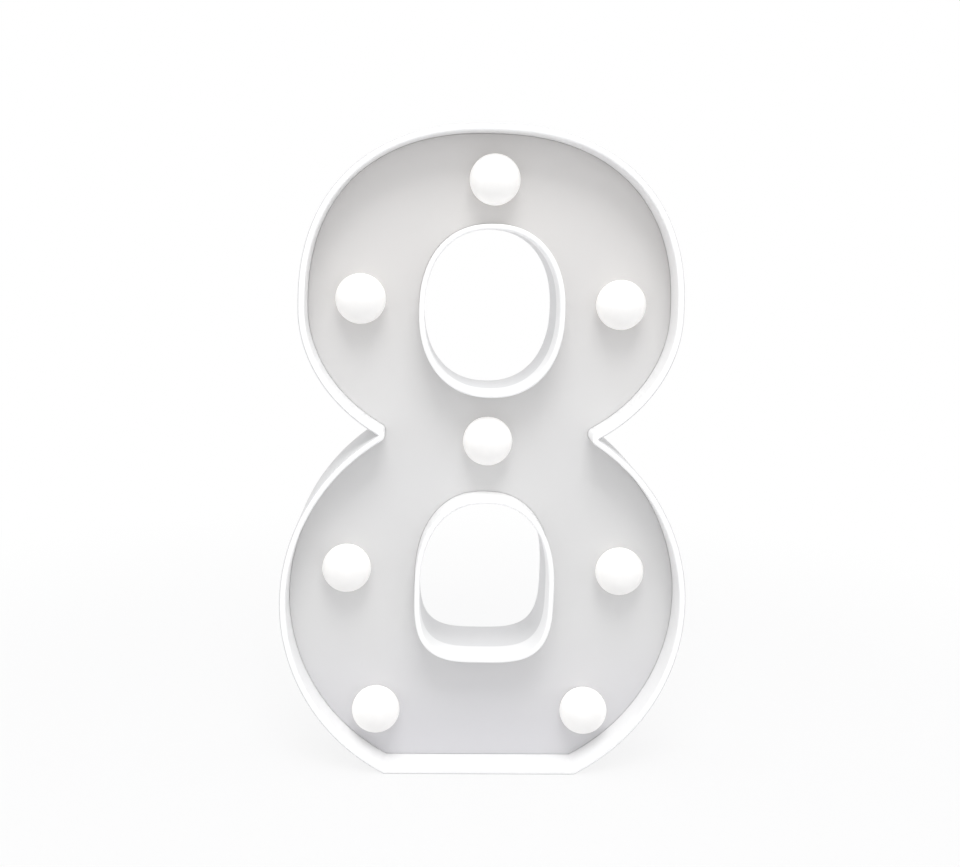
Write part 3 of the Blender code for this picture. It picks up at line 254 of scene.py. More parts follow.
class Surface(Graph):
    """The node tree of one material."""

    def __init__(self, name: str) -> None:
        """Starts a material with this name."""
        self.material = bpy.data.materials.new(name)
        self.material.use_nodes = True
        super().__init__(self.material.node_tree)
        self.shader = self.tree.nodes["Principled BSDF"]

    def constant(self, values: Values) -> None:
        """Sets sockets of the shader that are the same all over."""
        for name, value in values.items():
            self.shader.inputs[name].default_value = value

    def feed(self, name: str, signal: Signal) -> None:
        """Links a signal to a socket of the shader."""
        self.tree.links.new(signal.socket, self.shader.inputs[name])

    def place(self, stretch: Sequence[float] = (1.0, 1.0, 1.0)) -> Signal:
        """The place on the object in metres, each axis times its factor."""
        coordinates = self.node("ShaderNodeTexCoord", {}, {}, "Object")
        return self.node("ShaderNodeMapping", {}, {"Vector": coordinates, "Scale": tuple(stretch)})

    def axis(self, name: str) -> Signal:
        """One coordinate of the place on the object."""
        return self.coordinate(self.place(), name)

    def attribute(self, name: str) -> Signal:
        """A value that the mesh holds under this name, or 0 where it holds none."""
        return self.node("ShaderNodeAttribute", {"attribute_name": name}, {}, "Fac")

    def noise(self, clouds: Clouds) -> Signal:
        """Draws cloudy noise.

        Args:
            clouds: its sizes.

        Returns:
            The noise, from 0 to 1.
        """
        inputs = {"Vector": self.place(clouds.stretch), "Scale": 1 / clouds.lump, "Detail": clouds.detail}
        noise = self.node("ShaderNodeTexNoise", {}, inputs, "Fac")
        return noise.ease(*clouds.marks) if clouds.marks else noise

    def specks(self, pitch: float) -> Signal:
        """Distance to the nearest of scattered points that lie about this far apart, as a share of it."""
        inputs = {"Vector": self.place(), "Scale": 1 / pitch}
        return self.node("ShaderNodeTexVoronoi", {}, inputs, "Distance")

    def blend(self, share: Value, first: Value, second: Value) -> Signal:
        """A mix of two colours.

        Args:
            share: how much of the second.
            first: colour at share 0.
            second: colour at share 1.

        Returns:
            The colour.
        """
        colours = [(*colour, 1.0) if isinstance(colour, tuple) else colour for colour in (first, second)]
        inputs = {"Factor_Float": share, "A_Color": colours[0], "B_Color": colours[1]}
        return self.node("ShaderNodeMix", {"data_type": "RGBA"}, inputs, "Result_Color")

    def let_light_in(self, share: float, depth: float) -> None:
        """Lets light into the skin: how much, and how many metres deep."""
        radius = (1.0, 1.0, 1.0)
        self.constant({"Subsurface Weight": share, "Subsurface Scale": depth, "Subsurface Radius": radius})

    def relief(self, height: Signal, depth: float) -> None:
        """Feeds the shader a bump that rises this many metres where the height goes from 0 to 1."""
        inputs = {"Height": height, "Distance": depth, "Strength": 1.0}
        self.feed("Normal", self.node("ShaderNodeBump", {}, inputs))


# Finishes


@dataclass(frozen=True)
class Finish:
    """A surface finish. Each kind draws its own pattern."""

    name: str
    slot: Slot

    def paint(self, surface: Surface) -> None:
        """Draws the finish on a surface."""
        raise NotImplementedError

    def material(self) -> bpy.types.Material:
        """The finish as a material, made once."""
        found = bpy.data.materials.get(self.name)
        if found:
            return found
        surface = Surface(self.name)
        self.paint(surface)
        return surface.material


@dataclass(frozen=True)
class MouldedPlastic(Finish):
    """Injection-moulded plastic: faint flow clouds, a satin skin and fine grain.

    The thin lip and the walls in front of the face keep the plain white. The face, the outside and all that
    lies behind the face get greyer tints as painted shade, darker and warm below the top rim and darker and
    bluish at the foot. All of it lets a little light into its skin.
    """

    tint: Colour = (0.93, 0.93, 0.93)
    shade: Colour = (0.905, 0.907, 0.912)
    # Painted shade: the sunk face is tinted grey, with a darker warm painted shadow below the top rim and a
    # darker bluish painted shade at the foot.
    face_top_painted_shadow: Colour = (0.664, 0.652, 0.643)
    face_painted_shade: Colour = (0.686, 0.684, 0.683)
    face_foot_painted_shade: Colour = (0.634, 0.630, 0.650)
    foot_end: float = 60 * MM
    crown_start: float = 95 * MM
    crown_end: float = 200 * MM
    # Painted shade: all that lies behind the face's front, the panel and door too, is tinted greyer than the
    # lip.
    rear_painted_shade: Colour = (0.745, 0.745, 0.750)
    # Painted shade: faces that look away from the numeral are tinted darker still.
    outer_painted_shade: Colour = (0.665, 0.665, 0.670)
    face_front: float = -4.3 * MM
    face_blend: float = 0.6 * MM
    clouds: Clouds = Clouds(38 * MM, 3.0)
    shade_marks: Flat = (0.35, 0.75)
    mottle: float = 0.4
    grain: Clouds = Clouds(0.45 * MM)
    grain_depth: float = 0.006 * MM
    wave: Clouds = Clouds(9 * MM, 1.0)
    wave_depth: float = 0.02 * MM
    scuffs: Clouds = Clouds(2.2 * MM, 4.0, (1.0, 1.0, 0.2), (0.52, 0.72))
    roughness: float = 0.31
    scuff_play: float = 0.10
    cloud_play: float = 0.06
    glow_share: float = 0.25
    glow_depth: float = 2 * MM

    def paint(self, surface: Surface) -> None:
        """Draws the plastic on a surface."""
        clouds = surface.noise(self.clouds)
        plain = surface.blend(clouds.ease(*self.shade_marks), self.tint, self.shade)
        behind = surface.axis("Y").ease(self.face_front - self.face_blend, self.face_front)
        height, mottle = surface.axis("Z"), (clouds - 0.5) * self.mottle
        # Painted shade on the sunk face: darker towards its foot and towards its crown, with cloudy edges.
        foot = surface.blend(height.ease(0.0, self.foot_end) + mottle, self.face_foot_painted_shade, self.face_painted_shade)
        face = surface.blend(height.ease(self.crown_start, self.crown_end) + mottle, foot, self.face_top_painted_shadow)
        # Painted shade behind the face's front; the plain white stays on the lip and the walls in front of
        # the face.
        walls = surface.blend(behind, plain, self.rear_painted_shade)
        # Painted shade on the outer side, where the attribute outside is 1.
        walls = surface.blend(surface.attribute("outside"), walls, self.outer_painted_shade)
        surface.feed("Base Color", surface.blend(surface.attribute("face"), walls, face))
        worn = surface.noise(self.scuffs) * self.scuff_play + clouds * self.cloud_play
        surface.feed("Roughness", worn + self.roughness)
        waves = surface.noise(self.wave) * (self.wave_depth / self.grain_depth)
        surface.relief(waves + surface.noise(self.grain), self.grain_depth)
        surface.let_light_in(self.glow_share, self.glow_depth)
        surface.constant({"IOR": 1.5})


@dataclass(frozen=True)
class MilkyBulb(Finish):
    """Milky diffusing plastic with painted light: a faint glow round its middle that evens out its shading.
    """

    tint: Colour = (0.90, 0.893, 0.882)
    shade: Colour = (0.87, 0.862, 0.850)
    # Painted light: a dim glow at the apex and a bright one, glow, towards the skirt, which fills in the
    # shading there.
    apex_painted_light: Colour = (0.10, 0.098, 0.095)
    glow: Colour = (1.0, 0.975, 0.94)
    painted_glow_strength: float = 0.22
    apex: float = -15.3 * MM
    skirt: float = -7.5 * MM
    clouds: Clouds = Clouds(6 * MM, marks=(0.3, 0.8))
    smears: Clouds = Clouds(1.2 * MM, 3.0)
    grain: Clouds = Clouds(0.8 * MM)
    grain_depth: float = 0.006 * MM
    roughness: float = 0.25
    smear_play: float = 0.10
    glow_share: float = 0.35
    glow_depth: float = 3 * MM

    def paint(self, surface: Surface) -> None:
        """Draws the milky plastic on a surface."""
        surface.feed("Base Color", surface.blend(surface.noise(self.clouds), self.tint, self.shade))
        surface.feed("Roughness", surface.noise(self.smears) * self.smear_play + self.roughness)
        surface.relief(surface.noise(self.grain), self.grain_depth)
        # Painted light: the glow eases from the dim apex colour to the bright skirt colour, to even out the
        # cap's shading.
        skirt = surface.axis("Y").ease(self.apex, self.skirt)
        surface.feed("Emission Color", surface.blend(skirt, self.apex_painted_light, self.glow))
        surface.let_light_in(self.glow_share, self.glow_depth)
        surface.constant({"Emission Strength": self.painted_glow_strength, "IOR": 1.49})


@dataclass(frozen=True)
class ClearEpoxy(Finish):
    """Clear casting resin with a warm tint and fine swirls."""

    tint: Colour = (0.98, 0.95, 0.86)
    swirl_tint: Colour = (0.93, 0.86, 0.68)
    swirls: Clouds = Clouds(1.5 * MM, 3.0)
    ripples: Clouds = Clouds(0.6 * MM)
    ripple_depth: float = 0.004 * MM
    roughness: float = 0.05
    swirl_play: float = 0.08

    def paint(self, surface: Surface) -> None:
        """Draws the resin on a surface."""
        swirls = surface.noise(self.swirls)
        surface.feed("Base Color", surface.blend(swirls, self.tint, self.swirl_tint))
        surface.feed("Roughness", swirls * self.swirl_play + self.roughness)
        surface.relief(surface.noise(self.ripples), self.ripple_depth)
        surface.constant({"Transmission Weight": 0.7, "IOR": 1.53})


@dataclass(frozen=True)
class PlatedMetal(Finish):
    """Plated or bare metal with rolling lines, stains and small pits."""

    bright: Colour = (0.74, 0.73, 0.70)
    dull: Colour = (0.56, 0.55, 0.53)
    lines: Clouds = Clouds(0.25 * MM, 3.0, (1.0, 1.0, 0.06))
    line_depth: float = 0.004 * MM
    stains: Clouds = Clouds(3 * MM, 3.0, marks=(0.45, 0.75))
    pit_pitch: float = 0.5 * MM
    pit_share: float = 0.16
    pit_depth: float = 0.008 * MM
    roughness: float = 0.16
    line_play: float = 0.16
    stain_play: float = 0.14
    pit_play: float = 0.12

    def paint(self, surface: Surface) -> None:
        """Draws the metal on a surface."""
        lines, stains = surface.noise(self.lines), surface.noise(self.stains)
        pits = 1 - surface.specks(self.pit_pitch).ease(0.0, self.pit_share)
        surface.feed("Base Color", surface.blend(stains, self.bright, self.dull))
        worn = lines * self.line_play + stains * self.stain_play + pits * self.pit_play
        surface.feed("Roughness", worn + self.roughness)
        surface.relief(lines - pits * (self.pit_depth / self.line_depth), self.line_depth)
        surface.constant({"Metallic": 1.0})


@dataclass(frozen=True)
class CellSleeve(Finish):
    """Shrink sleeve of a cell: dark with a copper band at its positive end, and bare steel ends."""

    centre: float = 0.0
    side: float = 1.0
    positive_end: float = 24.05 * MM
    negative_end: float = 25.25 * MM
    fold: float = 0.4 * MM
    band: float = 13 * MM
    half_line: float = 0.35 * MM
    dark: Colour = (0.035, 0.037, 0.042)
    copper: Colour = (0.52, 0.24, 0.10)
    pale: Colour = (0.80, 0.80, 0.78)
    steel: Colour = (0.66, 0.65, 0.63)
    wear: Clouds = Clouds(1.6 * MM, 4.0, (0.3, 1.0, 1.0), (0.58, 0.76))
    clouds: Clouds = Clouds(8 * MM)
    creases: Clouds = Clouds(0.7 * MM)
    crease_depth: float = 0.008 * MM
    sleeve_sheen: float = 0.3
    roughness: float = 0.22
    wear_play: float = 0.2
    cloud_play: float = 0.08

    def paint(self, surface: Surface) -> None:
        """Draws the sleeve on a surface."""
        along = (surface.axis("X") - self.centre) * self.side
        band_foot = self.positive_end - self.band
        sleeve = surface.blend(along.above(band_foot), self.dark, self.copper)
        sleeve = surface.blend((along - band_foot).size().below(self.half_line), sleeve, self.pale)
        bare = along.above(self.positive_end - self.fold) + along.below(self.fold - self.negative_end)
        surface.feed("Base Color", surface.blend(bare, sleeve, self.steel))
        surface.feed("Metallic", bare * (1 - self.sleeve_sheen) + self.sleeve_sheen)
        worn = surface.noise(self.wear) * self.wear_play + surface.noise(self.clouds) * self.cloud_play
        surface.feed("Roughness", worn + self.roughness)
        surface.relief(surface.noise(self.creases), self.crease_depth)
        surface.constant({"Coat Weight": 0.4, "Coat Roughness": 0.12})


@dataclass(frozen=True)
class Insulation(Finish):
    """Soft wire insulation, a little chalky, with drawing marks."""

    tint: Colour = (0.55, 0.03, 0.025)
    faded: Colour = (0.66, 0.10, 0.08)
    chalk: Clouds = Clouds(2.5 * MM, 3.0)
    faded_marks: Flat = (0.4, 0.8)
    scratches: Clouds = Clouds(0.4 * MM)
    scratch_depth: float = 0.01 * MM
    roughness: float = 0.32
    chalk_play: float = 0.2

    def paint(self, surface: Surface) -> None:
        """Draws the insulation on a surface."""
        chalk = surface.noise(self.chalk)
        surface.feed("Base Color", surface.blend(chalk.ease(*self.faded_marks), self.tint, self.faded))
        surface.feed("Roughness", chalk * self.chalk_play + self.roughness)
        surface.relief(surface.noise(self.scratches), self.scratch_depth)


@dataclass(frozen=True)
class BandedLacquer(Finish):
    """Beige lacquer with colour rings, as on a small resistor."""

    centre: float = 0.0
    half_body: float = 2.5 * MM
    half_ring: float = 0.22 * MM
    ring_places: tuple[float, ...] = (-1.5 * MM, -0.5 * MM, 0.5 * MM, 1.8 * MM)
    beige: Colour = (0.72, 0.58, 0.36)
    brown: Colour = (0.30, 0.07, 0.03)
    black: Colour = (0.02, 0.02, 0.02)
    gold: Colour = (0.62, 0.45, 0.12)
    tinned: Colour = (0.70, 0.69, 0.67)
    clouds: Clouds = Clouds(0.8 * MM, 3.0)
    grain: Clouds = Clouds(0.5 * MM)
    grain_depth: float = 0.01 * MM
    roughness: float = 0.28
    cloud_play: float = 0.15

    def paint(self, surface: Surface) -> None:
        """Draws the lacquer on a surface."""
        along = surface.axis("Z") - self.centre
        colour: Value = self.beige
        for place, ring in zip(self.ring_places, (self.brown, self.black, self.brown, self.gold)):
            here = (along - place).size().below(self.half_ring)
            colour = surface.blend(here, colour, ring)
        lead = along.size().above(self.half_body)
        surface.feed("Base Color", surface.blend(lead, colour, self.tinned))
        surface.feed("Metallic", lead)
        surface.feed("Roughness", surface.noise(self.clouds) * self.cloud_play + self.roughness)
        surface.relief(surface.noise(self.grain), self.grain_depth)


@dataclass(frozen=True)
class GrainedPlastic(Finish):
    """Dark plastic with a spark-eroded grain and a few pale scuffs."""

    tint: Colour = (0.025, 0.025, 0.027)
    scuff_tint: Colour = (0.10, 0.10, 0.10)
    scuffs: Clouds = Clouds(0.9 * MM, 4.0, marks=(0.60, 0.78))
    clouds: Clouds = Clouds(3 * MM)
    grain: Clouds = Clouds(0.22 * MM)
    grain_depth: float = 0.012 * MM
    roughness: float = 0.38
    scuff_play: float = 0.2
    cloud_play: float = 0.1

    def paint(self, surface: Surface) -> None:
        """Draws the plastic on a surface."""
        scuffs = surface.noise(self.scuffs)
        surface.feed("Base Color", surface.blend(scuffs, self.tint, self.scuff_tint))
        worn = scuffs * self.scuff_play + surface.noise(self.clouds) * self.cloud_play
        surface.feed("Roughness", worn + self.roughness)
        surface.relief(surface.noise(self.grain), self.grain_depth)


SHELL_PLASTIC = MouldedPlastic("shell_plastic", Slot.WHITE_PLASTIC)
PANEL_PLASTIC = MouldedPlastic(
    "panel_plastic", Slot.WHITE_PLASTIC, roughness=0.43, grain=Clouds(0.3 * MM), grain_depth=0.012 * MM
)
BULB_PLASTIC = MilkyBulb("bulb_plastic", Slot.BULB)
LED_EPOXY = ClearEpoxy("led_epoxy", Slot.LED)
NICKEL = PlatedMetal("nickel_plate", Slot.NICKEL)
ZINC = PlatedMetal(
    "zinc_plate", Slot.STEEL, bright=(0.66, 0.67, 0.69), dull=(0.48, 0.49, 0.51), roughness=0.22
)
RED_WIRE = Insulation("red_insulation", Slot.RED_WIRE)
BLACK_WIRE = Insulation(
    "black_insulation", Slot.BLACK_WIRE, tint=(0.018, 0.018, 0.018), faded=(0.05, 0.05, 0.05)
)
SWITCH_PLASTIC = GrainedPlastic("switch_plastic", Slot.BLACK_PLASTIC)


# Outlines


def mix(low: float, high: float, share: float) -> float:
    """The value that lies this share of the way from low to high."""
    return low + (high - low) * share


@dataclass(frozen=True)
class Oval:
    """A rounded closed shape on the middle line, with its own squareness above and below its centre."""

    centre_height: float
    half_width: float
    rise: float
    drop: float
    rise_power: float
    drop_power: float

    def point(self, angle: float) -> Flat:
        """A point of the edge.

        Args:
            angle: direction from the centre, in radians.

        Returns:
            The point, across and up.
        """
        across, up = math.cos(angle), math.sin(angle)
        reach = self.rise if up > 0 else self.drop
        power = self.rise_power if up > 0 else self.drop_power
        total = abs(across / self.half_width) ** power + abs(up / reach) ** power
        radius = total ** (-1 / power)
        return (radius * across, self.centre_height + radius * up)

    def holds(self, place: Flat) -> bool:
        """Whether a place lies within the edge."""
        across, up = place[0], place[1] - self.centre_height
        edge = self.point(math.atan2(up, across))
        return math.hypot(across, up) < math.hypot(edge[0], edge[1] - self.centre_height)

    def outline(self, sides: int) -> list[Flat]:
        """The whole edge, anticlockwise, in this many steps."""
        return [self.point(math.tau * side / sides) for side in range(sides)]


def mitred(
    outline: Sequence[Flat], bend_limit: float = 0.25, arc_steps: int = 8
) -> list[tuple[Vector, Vector]]:
    """Gives an outline its inward vectors, with an arc round each corner that points inwards.

    A point moves by its vector for each metre that the outline shrinks.

    Args:
        outline: the points, anticlockwise.
        bend_limit: turn, in radians, past which an inward corner gets an arc.
        arc_steps: steps of such an arc.

    Returns:
        The points with their inward vectors.
    """
    path = []
    for index, corner in enumerate(outline):
        here = Vector(corner)
        before = (here - Vector(outline[index - 1])).normalized()
        after = (Vector(outline[(index + 1) % len(outline)]) - here).normalized()
        normal = Vector((-before.y, before.x))
        turn = math.atan2(before.cross(after), before.dot(after))
        if turn < -bend_limit:
            for step in range(arc_steps + 1):
                path.append((here, Matrix.Rotation(turn * step / arc_steps, 2) @ normal))
        else:
            bisector = (normal + Vector((-after.y, after.x))).normalized()
            path.append((here, bisector / bisector.dot(normal)))
    return path


def inset(outline: Sequence[Flat], distance: float) -> list[Flat]:
    """The outline moved inwards by a distance, or outwards by a negative one."""
    return [tuple(place + inward * distance) for place, inward in mitred(outline)]


def arc(centre: Flat, reach: Flat, start: float, end: float, steps: int) -> list[Flat]:
    """Points of an upright ellipse with this reach across and up, between two angles in radians."""
    angles = [mix(start, end, step / steps) for step in range(steps + 1)]
    return [(centre[0] + reach[0] * math.cos(turn), centre[1] + reach[1] * math.sin(turn)) for turn in angles]


def circle(centre: Flat, radius: float, sides: int) -> list[Flat]:
    """A round outline, anticlockwise, in this many steps."""
    return arc(centre, (radius, radius), 0.0, math.tau, sides)[:-1]


def rounded_rectangle(centre: Flat, half: Flat, corner: float, steps: int = 6) -> list[Flat]:
    """A rectangle with round corners, anticlockwise.

    Args:
        centre: across and up.
        half: half its width and half its height.
        corner: radius of its corners.
        steps: steps of each corner.

    Returns:
        The points.
    """
    points = []
    for quarter, (side, end) in enumerate(((1, 1), (-1, 1), (-1, -1), (1, -1))):
        middle = (centre[0] + side * (half[0] - corner), centre[1] + end * (half[1] - corner))
        start = quarter * math.pi / 2
        points += arc(middle, (corner, corner), start, start + math.pi / 2, steps)
    return points


def smooth_line(knots: Sequence[Vector], step: float) -> list[Vector]:
    """Points at about even steps on a smooth curve through the knots.

    Args:
        knots: the points that it passes.
        step: about how far apart the results lie.

    Returns:
        The points.
    """
    ends = [knots[0] * 2 - knots[1], *knots, knots[-1] * 2 - knots[-2]]
    points = [knots[0]]
    for before, start, end, after in zip(ends, ends[1:], ends[2:], ends[3:]):
        pieces = max(1, round((end - start).length / step))
        for share in [index / pieces for index in range(1, pieces + 1)]:
            slope = (end - before) * share
            bend = (before * 2 - start * 5 + end * 4 - after) * share**2
            twist = (start * 3 - before - end * 3 + after) * share**3
            points.append((start * 2 + slope + bend + twist) / 2)
    return points


@dataclass(frozen=True)
class Figure:
    """The numeral eight: two bowls that run into each other, a flat foot and two counters."""

    lower_radius: float = 69.07 * MM
    foot_half_width: float = 33.2 * MM
    bowl_overlap: float = 20.0 * MM
    upper_half_width: float = 62.9 * MM
    crown_rise: float = 59.6 * MM
    root_drop: float = 50.73 * MM
    crown_power: float = 2.33
    crown_stroke: float = 31.25 * MM
    upper_side_stroke: float = 39.1 * MM
    waist_stroke: float = 33.9 * MM
    waist_drop: float = 3.7 * MM
    lower_side_stroke: float = 45.4 * MM
    foot_stroke: float = 40.85 * MM
    upper_counter_power: float = 2.25
    lower_counter_rise_power: float = 2.3
    lower_counter_drop_power: float = 3.36
    lower_counter_drop_share: float = 0.447
    wall: float = 2.2 * MM
    top_bulb_share: float = 0.487
    waist_bulb_share: float = 0.541
    upper_bulb_share: float = 0.52
    lower_bulb_share: float = 0.537
    foot_bulb_share: float = 0.486
    upper_bulb_lift: float = 3.1 * MM
    lower_bulb_lift: float = 11.4 * MM
    foot_bulb_spread: float = 36.4 * MM
    screw_angles: tuple[Flat, Flat] = ((52.0, -25.0), (40.0, -8.0))
    screw_share: float = 0.75
    shoulder_angle: float = 52.0
    hip_angle: float = -45.0
    wire_share: float = 0.4
    wire_waist_share: float = 0.74
    halvings: int = 60
    bowl_step: float = math.radians(1.5)
    counter_sides: int = 144

    @property
    def lower_centre(self) -> float:
        """Height of the lower bowl's centre."""
        return math.sqrt(self.lower_radius**2 - self.foot_half_width**2)

    @property
    def upper_centre(self) -> float:
        """Height of the upper bowl's centre."""
        return self.lower_centre + self.lower_radius - self.bowl_overlap + self.root_drop

    @property
    def lower_bowl(self) -> Oval:
        """The round lower bowl."""
        return Oval(self.lower_centre, *[self.lower_radius] * 3, 2.0, 2.0)

    @property
    def upper_bowl(self) -> Oval:
        """The oval upper bowl."""
        return Oval(
            self.upper_centre, self.upper_half_width, self.crown_rise, self.root_drop, self.crown_power, 2.0
        )

    @property
    def crown(self) -> float:
        """Height of the highest point."""
        return self.upper_centre + self.crown_rise

    def notch_angles(self) -> Flat:
        """Angles, on the lower and the upper bowl, of the corner where the bowls meet."""
        low, high, angle = -math.pi / 2, 0.0, 0.0
        across = height = 0.0
        for _ in range(self.halvings):
            angle = (low + high) / 2
            across, height = self.upper_bowl.point(angle)
            if math.hypot(across, height - self.lower_centre) < self.lower_radius:
                low = angle
            else:
                high = angle
        return math.atan2(height - self.lower_centre, across), angle

    @property
    def notch(self) -> Flat:
        """The corner where the bowls meet, on the right."""
        return self.upper_bowl.point(self.notch_angles()[1])

    @property
    def counters(self) -> tuple[Oval, Oval]:
        """The upper and the lower counter, on the side of the channel."""
        waist = self.notch[1] - self.waist_drop
        top, root = self.crown - self.crown_stroke, waist + self.waist_stroke / 2
        half = (top - root) / 2
        half_width, powers = self.upper_half_width - self.upper_side_stroke, [self.upper_counter_power] * 2
        upper = Oval(root + half, half_width, half, half, *powers)
        height = waist - self.waist_stroke / 2 - self.foot_stroke
        drop = height * self.lower_counter_drop_share
        half_width = self.lower_radius - self.lower_side_stroke
        powers = [self.lower_counter_rise_power, self.lower_counter_drop_power]
        lower = Oval(self.foot_stroke + drop, half_width, height - drop, drop, *powers)
        return upper, lower

    def outline(self) -> list[Flat]:
        """The outer edge, anticlockwise from the right end of the flat foot."""
        lower_notch, upper_notch = self.notch_angles()
        right: list[Flat] = []
        for bowl, start, end in (
            (self.lower_bowl, -math.asin(self.lower_centre / self.lower_radius), lower_notch),
            (self.upper_bowl, upper_notch, math.pi / 2),
        ):
            steps = round((end - start) / self.bowl_step)
            first = 1 if right else 0
            right += [bowl.point(mix(start, end, step / steps)) for step in range(first, steps + 1)]
        return right + [(-across, height) for across, height in reversed(right[:-1])]

    def holds(self, place: Flat) -> bool:
        """Whether a place lies within the outer edge."""
        return place[1] > 0 and (self.lower_bowl.holds(place) or self.upper_bowl.holds(place))

    def bulb_places(self) -> dict[str, Flat]:
        """Name and place of each bulb."""
        upper, lower = self.counters
        upper_spread = mix(upper.half_width, self.upper_half_width - self.wall, self.upper_bulb_share)
        lower_spread = mix(lower.half_width, self.lower_radius - self.wall, self.lower_bulb_share)
        top = mix(upper.centre_height + upper.rise, self.crown - self.wall, self.top_bulb_share)
        waist_foot, waist_top = lower.centre_height + lower.rise, upper.centre_height - upper.drop
        waist = mix(waist_foot, waist_top, self.waist_bulb_share)
        foot = mix(self.wall, self.foot_stroke, self.foot_bulb_share)
        upper_height = self.upper_centre + self.upper_bulb_lift
        lower_height = self.lower_centre + self.lower_bulb_lift
        return {
            "top": (0.0, top),
            "upper_right": (upper_spread, upper_height),
            "upper_left": (-upper_spread, upper_height),
            "waist": (0.0, waist),
            "lower_right": (lower_spread, lower_height),
            "lower_left": (-lower_spread, lower_height),
            "foot_right": (self.foot_bulb_spread, foot),
            "foot_left": (-self.foot_bulb_spread, foot),
        }

    def channel_place(self, bowl: Oval, counter: Oval, degrees: float, share: float) -> Flat:
        """A place in the channel between a counter and the outer wall.

        Args:
            bowl: the bowl.
            counter: its counter.
            degrees: direction from both centres.
            share: how far it lies from the counter to the wall.

        Returns:
            The place on the right side.
        """
        angle = math.radians(degrees)
        near, far = Vector(counter.point(angle)), Vector(bowl.point(angle))
        far -= (far - Vector((0, bowl.centre_height))).normalized() * self.wall
        return tuple(near.lerp(far, share))

    def screw_places(self) -> list[Flat]:
        """Places of the eight back screws."""
        bowls = (self.upper_bowl, self.lower_bowl)
        places = [
            self.channel_place(bowl, counter, angle, self.screw_share)
            for bowl, counter, angles in zip(bowls, self.counters, self.screw_angles)
            for angle in angles
        ]
        return [(side * across, height) for across, height in places for side in (1, -1)]

    def string_route(self) -> dict[str, Flat]:
        """The line of the light string: every bulb, and the passes round the counters."""
        bulbs, upper = self.bulb_places(), self.counters[0]
        shoulder = self.channel_place(self.upper_bowl, upper, self.shoulder_angle, self.wire_share)
        hip = self.channel_place(self.upper_bowl, upper, self.hip_angle, self.wire_share)
        passes = {
            "waist_pass": (self.notch[0] * self.wire_waist_share, self.notch[1]),
            "right_shoulder": shoulder,
            "left_shoulder": (-shoulder[0], shoulder[1]),
            "left_hip": (-hip[0], hip[1]),
        }
        order = ("foot_right", "lower_right", "waist_pass", "upper_right", "right_shoulder", "top")
        order += ("left_shoulder", "upper_left", "left_hip", "waist", "lower_left", "foot_left")
        return {name: {**bulbs, **passes}[name] for name in order}


# Geometry trees


